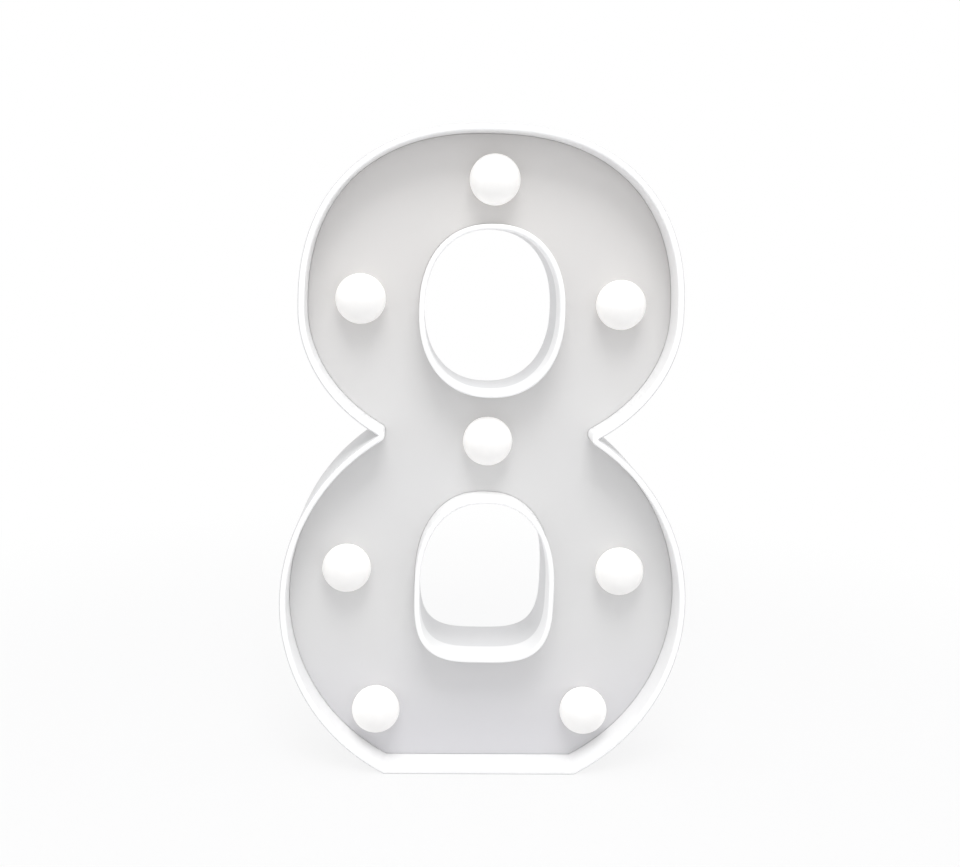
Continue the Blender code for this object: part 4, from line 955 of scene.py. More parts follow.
class Tree(Graph):
    """A Geometry Nodes tree with named inputs for its sizes."""

    KINDS = {
        float: "NodeSocketFloat",
        int: "NodeSocketInt",
        bpy.types.Material: "NodeSocketMaterial",
        Piece: "NodeSocketObject",
    }
    POINT_COUNT = ("GeometryNodeAttributeDomainSize", {"component": "MESH"})
    SAMPLE = ("GeometryNodeSampleIndex", {"data_type": "FLOAT_VECTOR", "domain": "POINT"})
    WIRE_SIDES = 16

    def __init__(self, name: str, sizes: Mapping[str, type]) -> None:
        """Starts a tree.

        Args:
            name: the tree's name.
            sizes: each named input with its type.
        """
        tree = bpy.data.node_groups.new(name, "GeometryNodeTree")
        tree.is_modifier = True
        super().__init__(tree)
        tree.interface.new_socket("Geometry", in_out="INPUT", socket_type="NodeSocketGeometry")
        tree.interface.new_socket("Geometry", in_out="OUTPUT", socket_type="NodeSocketGeometry")
        self.identifiers = {}
        for size, kind in {**sizes, "Material": bpy.types.Material}.items():
            socket = tree.interface.new_socket(size, in_out="INPUT", socket_type=self.KINDS[kind])
            self.identifiers[size] = socket.identifier
        self.entry = tree.nodes.new("NodeGroupInput")

    def given(self, name: str) -> Signal:
        """The input with this name."""
        return Signal(self, self.entry.outputs[name])

    def finish(self, geometry: Signal) -> "Tree":
        """Ends the tree in Realize Instances and Set Material.

        Args:
            geometry: what the tree has made.

        Returns:
            The tree.
        """
        welded = self.node("GeometryNodeMergeByDistance", {}, {"Geometry": geometry, "Distance": WELD})
        real = self.node("GeometryNodeRealizeInstances", {}, {"Geometry": welded})
        inputs = {"Geometry": real, "Material": self.given("Material")}
        dressed = self.node("GeometryNodeSetMaterial", {}, inputs)
        way_out = self.tree.nodes.new("NodeGroupOutput")
        self.tree.links.new(dressed.socket, way_out.inputs["Geometry"])
        return self

    def grow(self, name: str, seed: Piece, finish: Finish, values: Values) -> Piece:
        """Runs the tree on a seed object and keeps the result as a plain mesh.

        Args:
            name: name of the new piece.
            seed: object whose mesh the tree starts from. It is removed.
            finish: finish of the new piece.
            values: a value for each named size.

        Returns:
            The new piece.
        """
        modifier = seed.modifiers.new(self.tree.name, "NODES")
        modifier.node_group = self.tree
        for size, value in {**values, "Material": finish.material()}.items():
            modifier[self.identifiers[size]] = value
        piece = new_piece(name, evaluated_mesh(seed))
        bpy.data.objects.remove(seed)
        return piece

    def sweep(self, section: Signal, path: Signal, lift: str) -> Signal:
        """A skin over every point of a closed path with every point of a section.

        Args:
            section: mesh whose points hold an inset across and a depth up.
            path: mesh whose points lie flat and hold an inward vector each.
            lift: name of the attribute that holds the inward vectors.

        Returns:
            The skin.
        """
        counts = [self.node(*self.POINT_COUNT, {"Geometry": part}, "Point Count") for part in (section, path)]
        rows, columns = counts[0] + 1, counts[1] + 1
        grid = self.node("GeometryNodeMeshGrid", {}, {"Vertices X": rows, "Vertices Y": columns}, "Mesh")
        index = self.node("GeometryNodeInputIndex", {}, {})
        row, column = (index / columns).floor() % counts[0], (index % columns) % counts[1]
        position = self.node("GeometryNodeInputPosition", {}, {})
        settings = {"data_type": "FLOAT_VECTOR"}
        named = self.node("GeometryNodeInputNamedAttribute", settings, {"Name": lift}, "Attribute")
        profile, place, inward = (
            self.node(*self.SAMPLE, {"Geometry": part, "Value": value, "Index": which})
            for part, value, which in (
                (section, position, row), (path, position, column), (path, named, column)
            )
        )
        shift = self.coordinate(profile, "X")
        flat = {}
        for axis in ("X", "Z"):
            flat[axis] = self.coordinate(place, axis) + self.coordinate(inward, axis) * shift
        inputs = {"Geometry": grid, "Position": self.joined(Y=self.coordinate(profile, "Y"), **flat)}
        return self.node("GeometryNodeSetPosition", {}, inputs)

    def wire(self, curve: Signal) -> Signal:
        """A wire along a curve, with closed ends. Its radius is the tree's input Wire Radius."""
        inputs = {"Resolution": self.WIRE_SIDES, "Radius": self.given("Wire Radius")}
        ring = self.node("GeometryNodeCurvePrimitiveCircle", {}, inputs)
        inputs = {"Curve": curve, "Profile Curve": ring, "Fill Caps": True}
        return self.node("GeometryNodeCurveToMesh", {}, inputs)


def wall_tree() -> Tree:
    """A wall that follows an outline, with rounded front edges."""
    sizes = {"Wall": float, "Front": float, "Rear": float, "Lip Round": float, "Lip Steps": int}
    tree = Tree("FollowingWall", sizes)
    front, rear, thickness = (tree.given(name) for name in ("Front", "Rear", "Wall"))
    corners = [(0.0, front), (0.0, rear), (thickness, rear), (thickness, front)]
    points = {
        f"Point {number + 1}": tree.joined(X=across, Y=depth)
        for number, (across, depth) in enumerate(corners)
    }
    section = tree.node("GeometryNodeCurvePrimitiveQuadrilateral", {"mode": "POINTS"}, points)
    position = tree.node("GeometryNodeInputPosition", {}, {})
    at_front = tree.coordinate(position, "Y").below((front + rear) / 2)
    radius = at_front * tree.given("Lip Round")
    inputs = {"Curve": section, "Radius": radius, "Count": tree.given("Lip Steps")}
    rounded = tree.node("GeometryNodeFilletCurve", {"mode": "POLY"}, inputs)
    line = tree.node("GeometryNodeCurveToMesh", {}, {"Curve": rounded})
    return tree.finish(tree.sweep(line, tree.given("Geometry"), "inward"))


def plate_tree() -> Tree:
    """A plate cut from flat outlines. Outlines inside others are holes."""
    tree = Tree("FlatPlate", {"Rear": float, "Thickness": float})
    curves = tree.node("GeometryNodeMeshToCurve", {}, {"Mesh": tree.given("Geometry")})
    filled = tree.node("GeometryNodeFillCurve", {}, {"Curve": curves})
    inputs = {"Mesh": filled, "Offset": tree.joined(Z=tree.given("Thickness")), "Individual": False}
    raised = tree.node("GeometryNodeExtrudeMesh", {"mode": "FACES"}, inputs)
    under = tree.node("GeometryNodeFlipFaces", {}, {"Mesh": filled})
    whole = tree.node("GeometryNodeJoinGeometry", {}, {"Geometry": [raised, under]})
    position = tree.node("GeometryNodeInputPosition", {}, {})
    across, height, lift = (tree.coordinate(position, axis) for axis in ("X", "Y", "Z"))
    place = tree.joined(X=across, Y=tree.given("Rear") - lift, Z=height)
    return tree.finish(tree.node("GeometryNodeSetPosition", {}, {"Geometry": whole, "Position": place}))


def turned_tree(name: str, crossed: bool) -> Tree:
    """A turned solid at each of several places, with its axis along a given turn.

    The points that it starts from hold a radius across and a height up, from the top down the outer side.

    Args:
        name: the tree's name.
        crossed: whether a cross recess is cut into its top, as in a screw.

    Returns:
        The tree.
    """
    sizes = {"Places": Piece, "Sides": int, "Tilt X": float, "Tilt Y": float}
    tree = Tree(name, {**sizes, **dict.fromkeys(CROSS if crossed else (), float)})
    profile, sides = tree.given("Geometry"), tree.given("Sides")
    count = tree.node(*Tree.POINT_COUNT, {"Geometry": profile}, "Point Count")
    columns = sides + 1
    grid = tree.node("GeometryNodeMeshGrid", {}, {"Vertices X": count, "Vertices Y": columns}, "Mesh")
    index = tree.node("GeometryNodeInputIndex", {}, {})
    position = tree.node("GeometryNodeInputPosition", {}, {})
    inputs = {"Geometry": profile, "Value": position, "Index": (index / columns).floor()}
    sample = tree.node(*Tree.SAMPLE, inputs)
    radius, height = tree.coordinate(sample, "X"), tree.coordinate(sample, "Y")
    angle = ((index % columns) % sides) * math.tau / sides
    place = tree.joined(X=radius * angle.cosine(), Y=radius * angle.sine(), Z=height)
    skin = tree.node("GeometryNodeSetPosition", {}, {"Geometry": grid, "Position": place})
    solid = tree.node("GeometryNodeMergeByDistance", {}, {"Geometry": skin, "Distance": WELD})
    if crossed:
        length, width, depth = (tree.given(size) for size in CROSS)
        settings = {"operation": "DIFFERENCE", "solver": "EXACT"}
        for first, second in ((length, width), (width, length)):
            inputs = {"Size": tree.joined(X=first, Y=second, Z=depth * 2)}
            inputs = {"Mesh 1": solid, "Mesh 2": tree.node("GeometryNodeMeshCube", {}, inputs, "Mesh")}
            solid = tree.node("GeometryNodeMeshBoolean", settings, inputs, "Mesh")
    places = tree.node("GeometryNodeObjectInfo", {}, {"Object": tree.given("Places")}, "Geometry")
    turn = tree.joined(X=tree.given("Tilt X"), Y=tree.given("Tilt Y"))
    inputs = {"Points": places, "Instance": solid, "Rotation": turn}
    return tree.finish(tree.node("GeometryNodeInstanceOnPoints", {}, inputs))


def coil_tree() -> Tree:
    """A conical coil spring along Z."""
    names = ("Rotations", "Start Radius", "End Radius", "Height")
    tree = Tree("ConicalCoil", {"Resolution": int, **dict.fromkeys((*names, "Wire Radius"), float)})
    inputs = {name: tree.given(name) for name in ("Resolution", *names)}
    spiral = tree.node("GeometryNodeCurveSpiral", {}, inputs)
    return tree.finish(tree.wire(spiral))


def wire_tree() -> Tree:
    """A round wire along a line of points."""
    tree = Tree("WireAlongPath", {"Wire Radius": float})
    line = tree.node("GeometryNodeMeshToCurve", {}, {"Mesh": tree.given("Geometry")})
    return tree.finish(tree.wire(line))


# Meshes


def new_piece(name: str, mesh: bpy.types.Mesh) -> Piece:
    """An object at the origin that shows the mesh."""
    piece = bpy.data.objects.new(name, mesh)
    mesh.name = name
    bpy.context.scene.collection.objects.link(piece)
    return piece


def evaluated_mesh(piece: Piece) -> bpy.types.Mesh:
    """A plain mesh of the object with its modifiers applied."""
    bpy.context.view_layer.update()
    graph = bpy.context.evaluated_depsgraph_get()
    return bpy.data.meshes.new_from_object(piece.evaluated_get(graph))


def applied(piece: Piece) -> Piece:
    """The piece with its modifiers applied."""
    mesh = evaluated_mesh(piece)
    piece.modifiers.clear()
    piece.data = mesh
    mesh.name = piece.name
    return piece


def seed_points(name: str, points: Sequence[Sequence[float]], edges: Sequence[Sequence[int]] = ()) -> Piece:
    """An object that a tree starts from.

    Args:
        name: its name.
        points: coordinates of its points.
        edges: pairs of points that edges join.

    Returns:
        The object.
    """
    mesh = bpy.data.meshes.new(name)
    mesh.from_pydata([tuple(point) for point in points], edges, [])
    return new_piece(name, mesh)


def wall(name: str, outline: Sequence[Flat], finish: Finish, values: Values) -> Piece:
    """A wall along an outline, from the tree FollowingWall.

    Args:
        name: its name.
        outline: its outer edge, anticlockwise.
        finish: its finish.
        values: the tree's sizes.

    Returns:
        The wall.
    """
    path = mitred(outline)
    seed = seed_points(f"{name}_path", [(place.x, 0.0, place.y) for place, _ in path])
    vectors = seed.data.attributes.new("inward", "FLOAT_VECTOR", "POINT")
    for item, (_, inward) in zip(vectors.data, path):
        item.vector = (inward.x, 0.0, inward.y)
    return TREES["wall"].grow(name, seed, finish, values)


def plate(name: str, outlines: Sequence[Sequence[Flat]], finish: Finish, front: float, rear: float) -> Piece:
    """A plate between two depths, from the tree FlatPlate.

    Args:
        name: its name.
        outlines: flat outlines. Those inside others are holes.
        finish: its finish.
        front: depth of its front.
        rear: depth of its back.

    Returns:
        The plate.
    """
    points, edges = [], []
    for outline in outlines:
        start = len(points)
        points += [(across, height, 0.0) for across, height in outline]
        edges += [(start + index, start + (index + 1) % len(outline)) for index in range(len(outline))]
    seed = seed_points(f"{name}_outlines", points, edges)
    return TREES["plate"].grow(name, seed, finish, {"Rear": rear, "Thickness": rear - front})


def turned_piece(
    name: str,
    profile: Sequence[Flat],
    places: Sequence[Sequence[float]],
    finish: Finish,
    values: Values,
    crease: float = 50.0,
) -> Piece:
    """A turned solid at each place, from the tree TurnedAtPlaces, or CrossScrews where it has a cross.

    Args:
        name: its name.
        profile: radii and heights, from the top down the outer side.
        places: where it stands.
        finish: its finish.
        values: the tree's sizes.
        crease: angle in degrees past which its edges stay sharp.

    Returns:
        The piece.
    """
    spots = seed_points(f"{name}_places", places)
    seed = seed_points(f"{name}_profile", [(radius, height, 0.0) for radius, height in profile])
    tree = TREES["screw" if CROSS[0] in values else "turned"]
    piece = tree.grow(name, seed, finish, {"Places": spots, "Tilt X": 0.0, "Tilt Y": 0.0, **values})
    bpy.data.objects.remove(spots)
    return smoothed(piece, crease)


def block(name: str, middle: Sequence[float], sides: Sequence[float]) -> Piece:
    """A plain box, as a cutter or an addition.

    Args:
        name: its name.
        middle: its middle.
        sides: its three sides.

    Returns:
        The box.
    """
    body = bmesh.new()
    bmesh.ops.create_cube(body, size=1, matrix=Matrix.Translation(middle) @ Matrix.Diagonal((*sides, 1)))
    mesh = bpy.data.meshes.new(name)
    body.to_mesh(mesh)
    body.free()
    return new_piece(name, mesh)


def combined(piece: Piece, others: Sequence[Piece], operation: str) -> Piece:
    """The piece joined with others, or with them cut out.

    Args:
        piece: the piece, which is changed.
        others: closed solids. They are removed.
        operation: UNION or DIFFERENCE.

    Returns:
        The piece.
    """
    for other in others:
        modifier = piece.modifiers.new(other.name, "BOOLEAN")
        modifier.operation = operation
        modifier.solver = "MANIFOLD"
        modifier.object = other
    applied(piece)
    for other in others:
        bpy.data.objects.remove(other)
    return piece


def softened(piece: Piece, width: float, segments: int = 2, degrees: float = 40.0) -> Piece:
    """The piece with its sharp edges rounded.

    Args:
        piece: the piece, which is changed.
        width: width of the rounding.
        segments: its steps.
        degrees: angle past which an edge is sharp.

    Returns:
        The piece.
    """
    modifier = piece.modifiers.new("edges", "BEVEL")
    modifier.width = width
    modifier.segments = segments
    modifier.limit_method = "ANGLE"
    modifier.angle_limit = math.radians(degrees)
    return applied(piece)


def smoothed(piece: Piece, degrees: float = 35.0) -> Piece:
    """The piece with smooth shading up to an angle."""
    piece.data.shade_smooth()
    piece.data.set_sharp_from_angle(angle=math.radians(degrees))
    return piece


def merged_copy(name: str, node: str) -> Piece:
    """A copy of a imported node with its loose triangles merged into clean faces.

    Args:
        name: name of the copy.
        node: name of the node.

    Returns:
        The copy.
    """
    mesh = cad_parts[node].data.copy()
    mesh.materials.clear()
    body = bmesh.new()
    body.from_mesh(mesh)
    bmesh.ops.remove_doubles(body, verts=body.verts, dist=WELD)
    bmesh.ops.dissolve_limit(body, angle_limit=FLAT_BEND, verts=body.verts, edges=body.edges)
    body.to_mesh(mesh)
    body.free()
    for attribute in [part.name for part in mesh.attributes if part.name.startswith("custom_")]:
        mesh.attributes.remove(mesh.attributes[attribute])
    return new_piece(name, mesh)


def settle(piece: Piece, finish: Finish, body: Body, *nodes: str) -> Piece:
    """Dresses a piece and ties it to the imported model.

    Args:
        piece: the piece.
        finish: its finish.
        body: the body that it rides on.
        nodes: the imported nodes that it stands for.

    Returns:
        The piece.
    """
    piece.data.materials.clear()
    piece.data.materials.append(finish.material())
    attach(piece, body.value)
    if nodes:
        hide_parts(*nodes)
    LOG.info("piece %s: %d faces, %s", piece.name, len(piece.data.polygons), finish.name)
    return piece


TREES = {
    "wall": wall_tree(),
    "plate": plate_tree(),
    "turned": turned_tree("TurnedAtPlaces", False),
    "screw": turned_tree("CrossScrews", True),
    "coil": coil_tree(),
    "wire": wire_tree(),
}


# Sub-assemblies


@dataclass(frozen=True)
class Stack:
    """Depths of the numeral's layers, from its front lip to its back."""

    front: float = -16.0 * MM
    face_recess: float = 11.7 * MM
    face_thickness: float = 1.8 * MM
    panel_thickness: float = 2.0 * MM
    gap: float = 0.3 * MM

    @property
    def rear(self) -> float:
        """Depth of the back."""
        return -self.front

    @property
    def face_front(self) -> float:
        """Depth of the face's front."""
        return self.front + self.face_recess

    @property
    def face_back(self) -> float:
        """Depth of the face's back."""
        return self.face_front + self.face_thickness

    @property
    def panel_front(self) -> float:
        """Depth of the back panel's inner side."""
        return self.rear - self.panel_thickness


@dataclass(frozen=True)
class BatteryBay:
    """Sizes that the tray, the door, the cells and the contacts share."""

    middle: float = 21.525 * MM
    half_length: float = 28.45 * MM
    half_height: float = 15.1 * MM
    ledge: float = 1.0 * MM
    corner: float = 1.6 * MM
    tray_wall: float = 1.6 * MM
    switch_place: Flat = (46.507 * MM, 31.0 * MM)
    tray_front: float = -2.2 * MM
    tray_inside: float = -1.0 * MM
    ledge_depth: float = 13.8 * MM
    cell_axis: float = 6.55 * MM
    cell_radius: float = 7.25 * MM
    cell_length: float = 50.5 * MM
    cell_shift: float = 2.1 * MM
    cell_pitch: float = 14.9 * MM

    def cell_height(self, side: int) -> float:
        """Height of the upper cell's axis for side 1, or of the lower one's for side -1."""
        return self.middle + side * self.cell_pitch / 2

    def outline(self, margin: float, corner: float) -> list[Flat]:
        """The bay's opening with a margin all round and with round corners."""
        half = (self.half_length + margin, self.half_height + margin)
        return rounded_rectangle((0.0, self.middle), half, corner)


@dataclass(frozen=True)
class Assembly:
    """What all sub-assemblies share: the numeral's figure, the depths of its layers and its battery bay."""

    figure: Figure = Figure()
    stack: Stack = Stack()
    bay: BatteryBay = BatteryBay()


@dataclass(frozen=True)
class ChannelShell(Assembly):
    """The moulded front: outer wall, counter walls, recessed face and screw bosses."""

    finish: Finish = SHELL_PLASTIC
    counter_wall: float = 1.8 * MM
    lip_round: float = 0.65 * MM
    lip_steps: int = 4
    bulb_hole: float = 4.8 * MM
    bulb_seat: float = 5.1 * MM
    groove_width: float = 0.12 * MM
    groove_depth: float = 0.25 * MM
    skin_root: float = 0.2 * MM
    boss_radius: float = 3.0 * MM
    pilot_radius: float = 1.4 * MM
    boss_end: float = 3.7 * MM
    boss_root: float = 0.5 * MM
    hole_sides: int = 32
    boss_sides: int = 24
    pilot_sides: int = 16
    probe_share: float = 0.25
    facing: float = 0.5

    def build(self) -> Piece:
        """Builds the shell as one closed body."""
        figure, stack = self.figure, self.stack
        outline = figure.outline()
        counters = [counter.outline(figure.counter_sides) for counter in figure.counters]
        sizes = {"Front": stack.front, "Rear": stack.rear, "Lip Round": self.lip_round}
        sizes["Lip Steps"] = self.lip_steps
        shell = wall("channel_shell", outline, self.finish, {**sizes, "Wall": figure.wall})
        walls = [
            wall(f"counter_wall_{number}", counter, self.finish, {**sizes, "Wall": self.counter_wall})
            for number, counter in enumerate(counters)
        ]
        step, gap, layers = stack.face_front + self.groove_depth, self.groove_width, []
        for name, edge, rim, hole, front, rear in (
            ("face", figure.wall / 2, self.counter_wall / 2, self.bulb_hole, step, stack.face_back),
            ("skin", figure.wall + gap, -gap, self.bulb_seat, stack.face_front, step + self.skin_root),
        ):
            rings = [inset(outline, edge), *(inset(counter, rim) for counter in counters)]
            rings += [circle(place, hole, self.hole_sides) for place in figure.bulb_places().values()]
            layers.append(plate(name, rings, self.finish, front, rear))
        rounds = ((self.boss_radius, self.boss_sides), (self.pilot_radius, self.pilot_sides))
        front, rear = stack.face_back - self.boss_root, stack.rear - self.boss_end
        for number, place in enumerate(figure.screw_places()):
            rings = [circle(place, radius, sides) for radius, sides in rounds]
            layers.append(plate(f"boss_{number}", rings, self.finish, front, rear))
        combined(shell, walls + layers, "UNION")
        # The attributes outside and face say where the plastic paints its shade: on the outer side and the
        # sunk face.
        self.mark_parts(shell)
        return smoothed(shell)

    def mark_parts(self, shell: Piece) -> None:
        """Writes on each mesh face whether it looks away from the numeral and whether it is the sunk face."""
        outside, sunk = (shell.data.attributes.new(name, "FLOAT", "FACE") for name in ("outside", "face"))
        for face in shell.data.polygons:
            before = face.center + face.normal * self.figure.wall * self.probe_share
            outside.data[face.index].value = not self.figure.holds((before.x, before.z))
            near = abs(face.center.y - self.stack.face_front) < self.groove_depth
            sunk.data[face.index].value = near and face.normal.y < -self.facing

    def dress(self, shell: Piece) -> None:
        """Gives the shell its finish and its place in the model."""
        settle(shell, self.finish, Body.NUMBER, "front_shell")


@dataclass(frozen=True)
class BulbSet(Assembly):
    """Eight round bulb caps that snap into the face."""

    finish: Finish = BULB_PLASTIC
    radius: float = 8.25 * MM
    height: float = 11.0 * MM
    equator: float = 4.9 * MM
    foot_radius: float = 6.9 * MM
    neck_radius: float = 4.5 * MM
    neck_bore: float = 3.2 * MM
    barb: float = 0.7 * MM
    barb_length: float = 1.6 * MM
    wall: float = 1.1 * MM
    sides: int = 64
    dome_steps: int = 18
    skirt_steps: int = 8

    def profile(self) -> list[Flat]:
        """Radii and heights from the apex down the outside, round the neck and up the inside."""
        gap, crown, level = self.stack.gap, self.height - self.equator, (0.0, self.equator)
        points = arc(level, (self.radius, crown), math.pi / 2, 0.0, self.dome_steps)
        for step in range(1, self.skirt_steps + 1):
            share = step / self.skirt_steps
            radius = self.radius - (self.radius - self.foot_radius) * share**2
            points.append((radius, mix(self.equator, gap, share)))
        root = -self.stack.face_thickness - gap
        points += [
            (self.neck_radius, gap),
            (self.neck_radius, root),
            (self.neck_radius + self.barb, root),
            (self.neck_radius, root - self.barb_length),
            (self.neck_bore, root - self.barb_length),
            (self.neck_bore, self.wall),
        ]
        inner = (self.radius - self.wall, crown - self.wall)
        return points + arc(level, inner, 0.0, math.pi / 2, self.dome_steps)

    def build(self) -> dict[str, Piece]:
        """Builds one cap at each place.

        Returns:
            The caps by the names of their places.
        """
        caps, values = {}, {"Sides": self.sides, "Tilt X": math.pi / 2}
        for name, (across, height) in self.figure.bulb_places().items():
            places = [(across, self.stack.face_front, height)]
            caps[name] = turned_piece(f"bulb_cap_{name}", self.profile(), places, self.finish, values)
        return caps

    def dress(self, caps: Mapping[str, Piece]) -> None:
        """Gives the caps their finish and their places in the model."""
        for name, cap in caps.items():
            settle(cap, self.finish, Body.NUMBER, f"bulb_{name}")


@dataclass(frozen=True)
class RearPanel(Assembly):
    """The inset back with the battery tray, keyholes, screw wells and the window of the switch."""

    finish: Finish = PANEL_PLASTIC
    keyhole_spread: float = 14.0 * MM
    keyhole_radius: float = 4.0 * MM
    keyhole_slot: float = 4.2 * MM
    keyhole_rise: float = 7.0 * MM
    keyhole_share: float = 0.3
    keyhole_steps: int = 40
    slot_steps: int = 16
    pad_radius: float = 3.6 * MM
    well_radius: float = 2.6 * MM
    well_floor: float = 13.8 * MM
    pad_front: float = 12.6 * MM
    pilot_radius: float = 1.4 * MM
    pilot_front: float = 11.0 * MM
    pilot_back: float = 14.2 * MM
    root: float = 0.5 * MM
    rib_thickness: float = 1.2 * MM
    rib_height: float = 2.0 * MM
    pocket_middle: float = 12.75 * MM
    pocket: Triple = (7.0 * MM, 3.5 * MM, 11.2 * MM)
    bed_middle: float = 12.0 * MM
    bed: Triple = (5.0 * MM, 4.0 * MM, 9.2 * MM)
    window_middle: float = 15.0 * MM
    window: Triple = (3.0 * MM, 4.0 * MM, 5.7 * MM)
    scoop_radius: float = 7.0 * MM
    scoop_reach: float = 1.8 * MM
    scoop_depth: float = 1.2 * MM
    hook_share: float = 0.55
    hook_depth: float = 12.65 * MM
    hook_slot: Flat = (5.6 * MM, 1.9 * MM)
    tab_slit: Flat = (1.1 * MM, 3.6 * MM)
    edge_round: float = 0.25 * MM
    overrun: float = 1.0 * MM
    round_sides: int = 32
    scoop_sides: int = 72

    def rounds(self, name: str, radius: float, front: float, rear: float) -> Piece:
        """A round plate of this radius at each screw, between two depths, as one piece."""
        circles = [circle(place, radius, self.round_sides) for place in self.figure.screw_places()]
        return plate(name, circles, self.finish, front, rear)

    def ribs(self) -> list[Piece]:
        """The two stiffening ribs beside the upper counter."""
        upper, wall = self.figure.counters[0], self.figure.wall
        inner, outer = upper.half_width + wall, self.figure.upper_half_width - 2 * wall
        depth = self.stack.panel_front + (self.root - self.rib_height) / 2
        sides = (outer - inner, self.rib_height + self.root, self.rib_thickness)
        places = [(side * (inner + outer) / 2, depth, upper.centre_height) for side in (1, -1)]
        return [block(f"rib_{number}", place, sides) for number, place in enumerate(places)]

    def keyhole(self, across: float) -> list[Flat]:
        """A round hole with a narrower slot above it.

        Args:
            across: how far it stands from the middle.

        Returns:
            Its outline, anticlockwise.
        """
        upper = self.figure.counters[0]
        rim, crown = upper.centre_height + upper.rise, self.figure.crown - self.figure.wall
        height = mix(rim, crown, self.keyhole_share)
        half = self.keyhole_slot / 2
        opening = math.asin(half / self.keyhole_radius)
        start, end = math.pi / 2 + opening, math.tau + math.pi / 2 - opening
        reach, top = (self.keyhole_radius, self.keyhole_radius), (across, height + self.keyhole_rise)
        points = arc((across, height), reach, start, end, self.keyhole_steps)
        return points + arc(top, (half, half), 0.0, math.pi, self.slot_steps)

    def build(self) -> Piece:
        """Builds the panel as one closed body."""
        figure, stack, bay = self.figure, self.stack, self.bay
        outline = inset(figure.outline(), figure.wall + stack.gap)
        counters = [inset(counter.outline(figure.counter_sides), -stack.gap) for counter in figure.counters]
        keyholes = [self.keyhole(side * self.keyhole_spread) for side in (1, -1)]
        rings = [outline, *counters, *keyholes]
        panel = plate("rear_panel", rings, self.finish, stack.panel_front, stack.rear)
        over = stack.panel_front + self.root
        back = stack.rear + self.overrun
        tray = plate("tray", [bay.outline(bay.tray_wall, bay.corner)], self.finish, bay.tray_front, over)
        across, height = bay.switch_place
        pocket = block("pocket", (across, self.pocket_middle, height), self.pocket)
        pads = self.rounds("pads", self.pad_radius, self.pad_front, over)
        combined(panel, [tray, pads, pocket, *self.ribs()], "UNION")
        hollow, seat = bay.outline(0.0, bay.ledge), bay.outline(bay.ledge, bay.corner)
        seat_top = bay.middle + bay.half_height + bay.ledge
        scoop_height = seat_top + self.scoop_reach - self.scoop_radius
        scoop = circle((0.0, scoop_height), self.scoop_radius, self.scoop_sides)
        cuts = [
            self.rounds("wells", self.well_radius, self.well_floor, back),
            self.rounds("pilots", self.pilot_radius, self.pilot_front, self.pilot_back),
            plate("hollow", [hollow], self.finish, bay.tray_inside, back),
            plate("seat", [seat], self.finish, bay.ledge_depth, back),
            plate("scoop", [scoop], self.finish, stack.rear - self.scoop_depth, back),
            block("bed", (across, self.bed_middle, height), self.bed),
            block("window", (across, self.window_middle, height), self.window),
        ]
        spread, bottom = bay.half_length * self.hook_share, bay.middle - bay.half_height
        through = bay.tray_wall + 2 * self.overrun
        end = bay.half_length + bay.tray_wall / 2
        for number, side in enumerate((1, -1)):
            place = (side * spread, self.hook_depth, bottom - bay.tray_wall / 2)
            cuts.append(block(f"hook_slot_{number}", place, (*self.hook_slot, through)))
            place = (end, bay.cell_axis, bay.cell_height(side))
            cuts.append(block(f"tab_slit_{number}", place, (through, *self.tab_slit)))
        combined(panel, cuts, "DIFFERENCE")
        softened(panel, self.edge_round)
        return smoothed(panel)

    def dress(self, panel: Piece) -> None:
        """Gives the panel its finish and its place in the model."""
        settle(panel, self.finish, Body.NUMBER, "back_panel")


@dataclass(frozen=True)
class BayDoor(Assembly):
    """The flush battery door with its latch tab, grip grooves and hooks."""

    edge_round: float = 0.25 * MM

    def build(self) -> Piece:
        """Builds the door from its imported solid, with rounded edges."""
        door = merged_copy("bay_door", "battery_door")
        softened(door, self.edge_round)
        return smoothed(door)

    def dress(self, door: Piece) -> None:
        """Gives the door its finish and its place in the model."""
        settle(door, PANEL_PLASTIC, Body.DOOR, "battery_door")


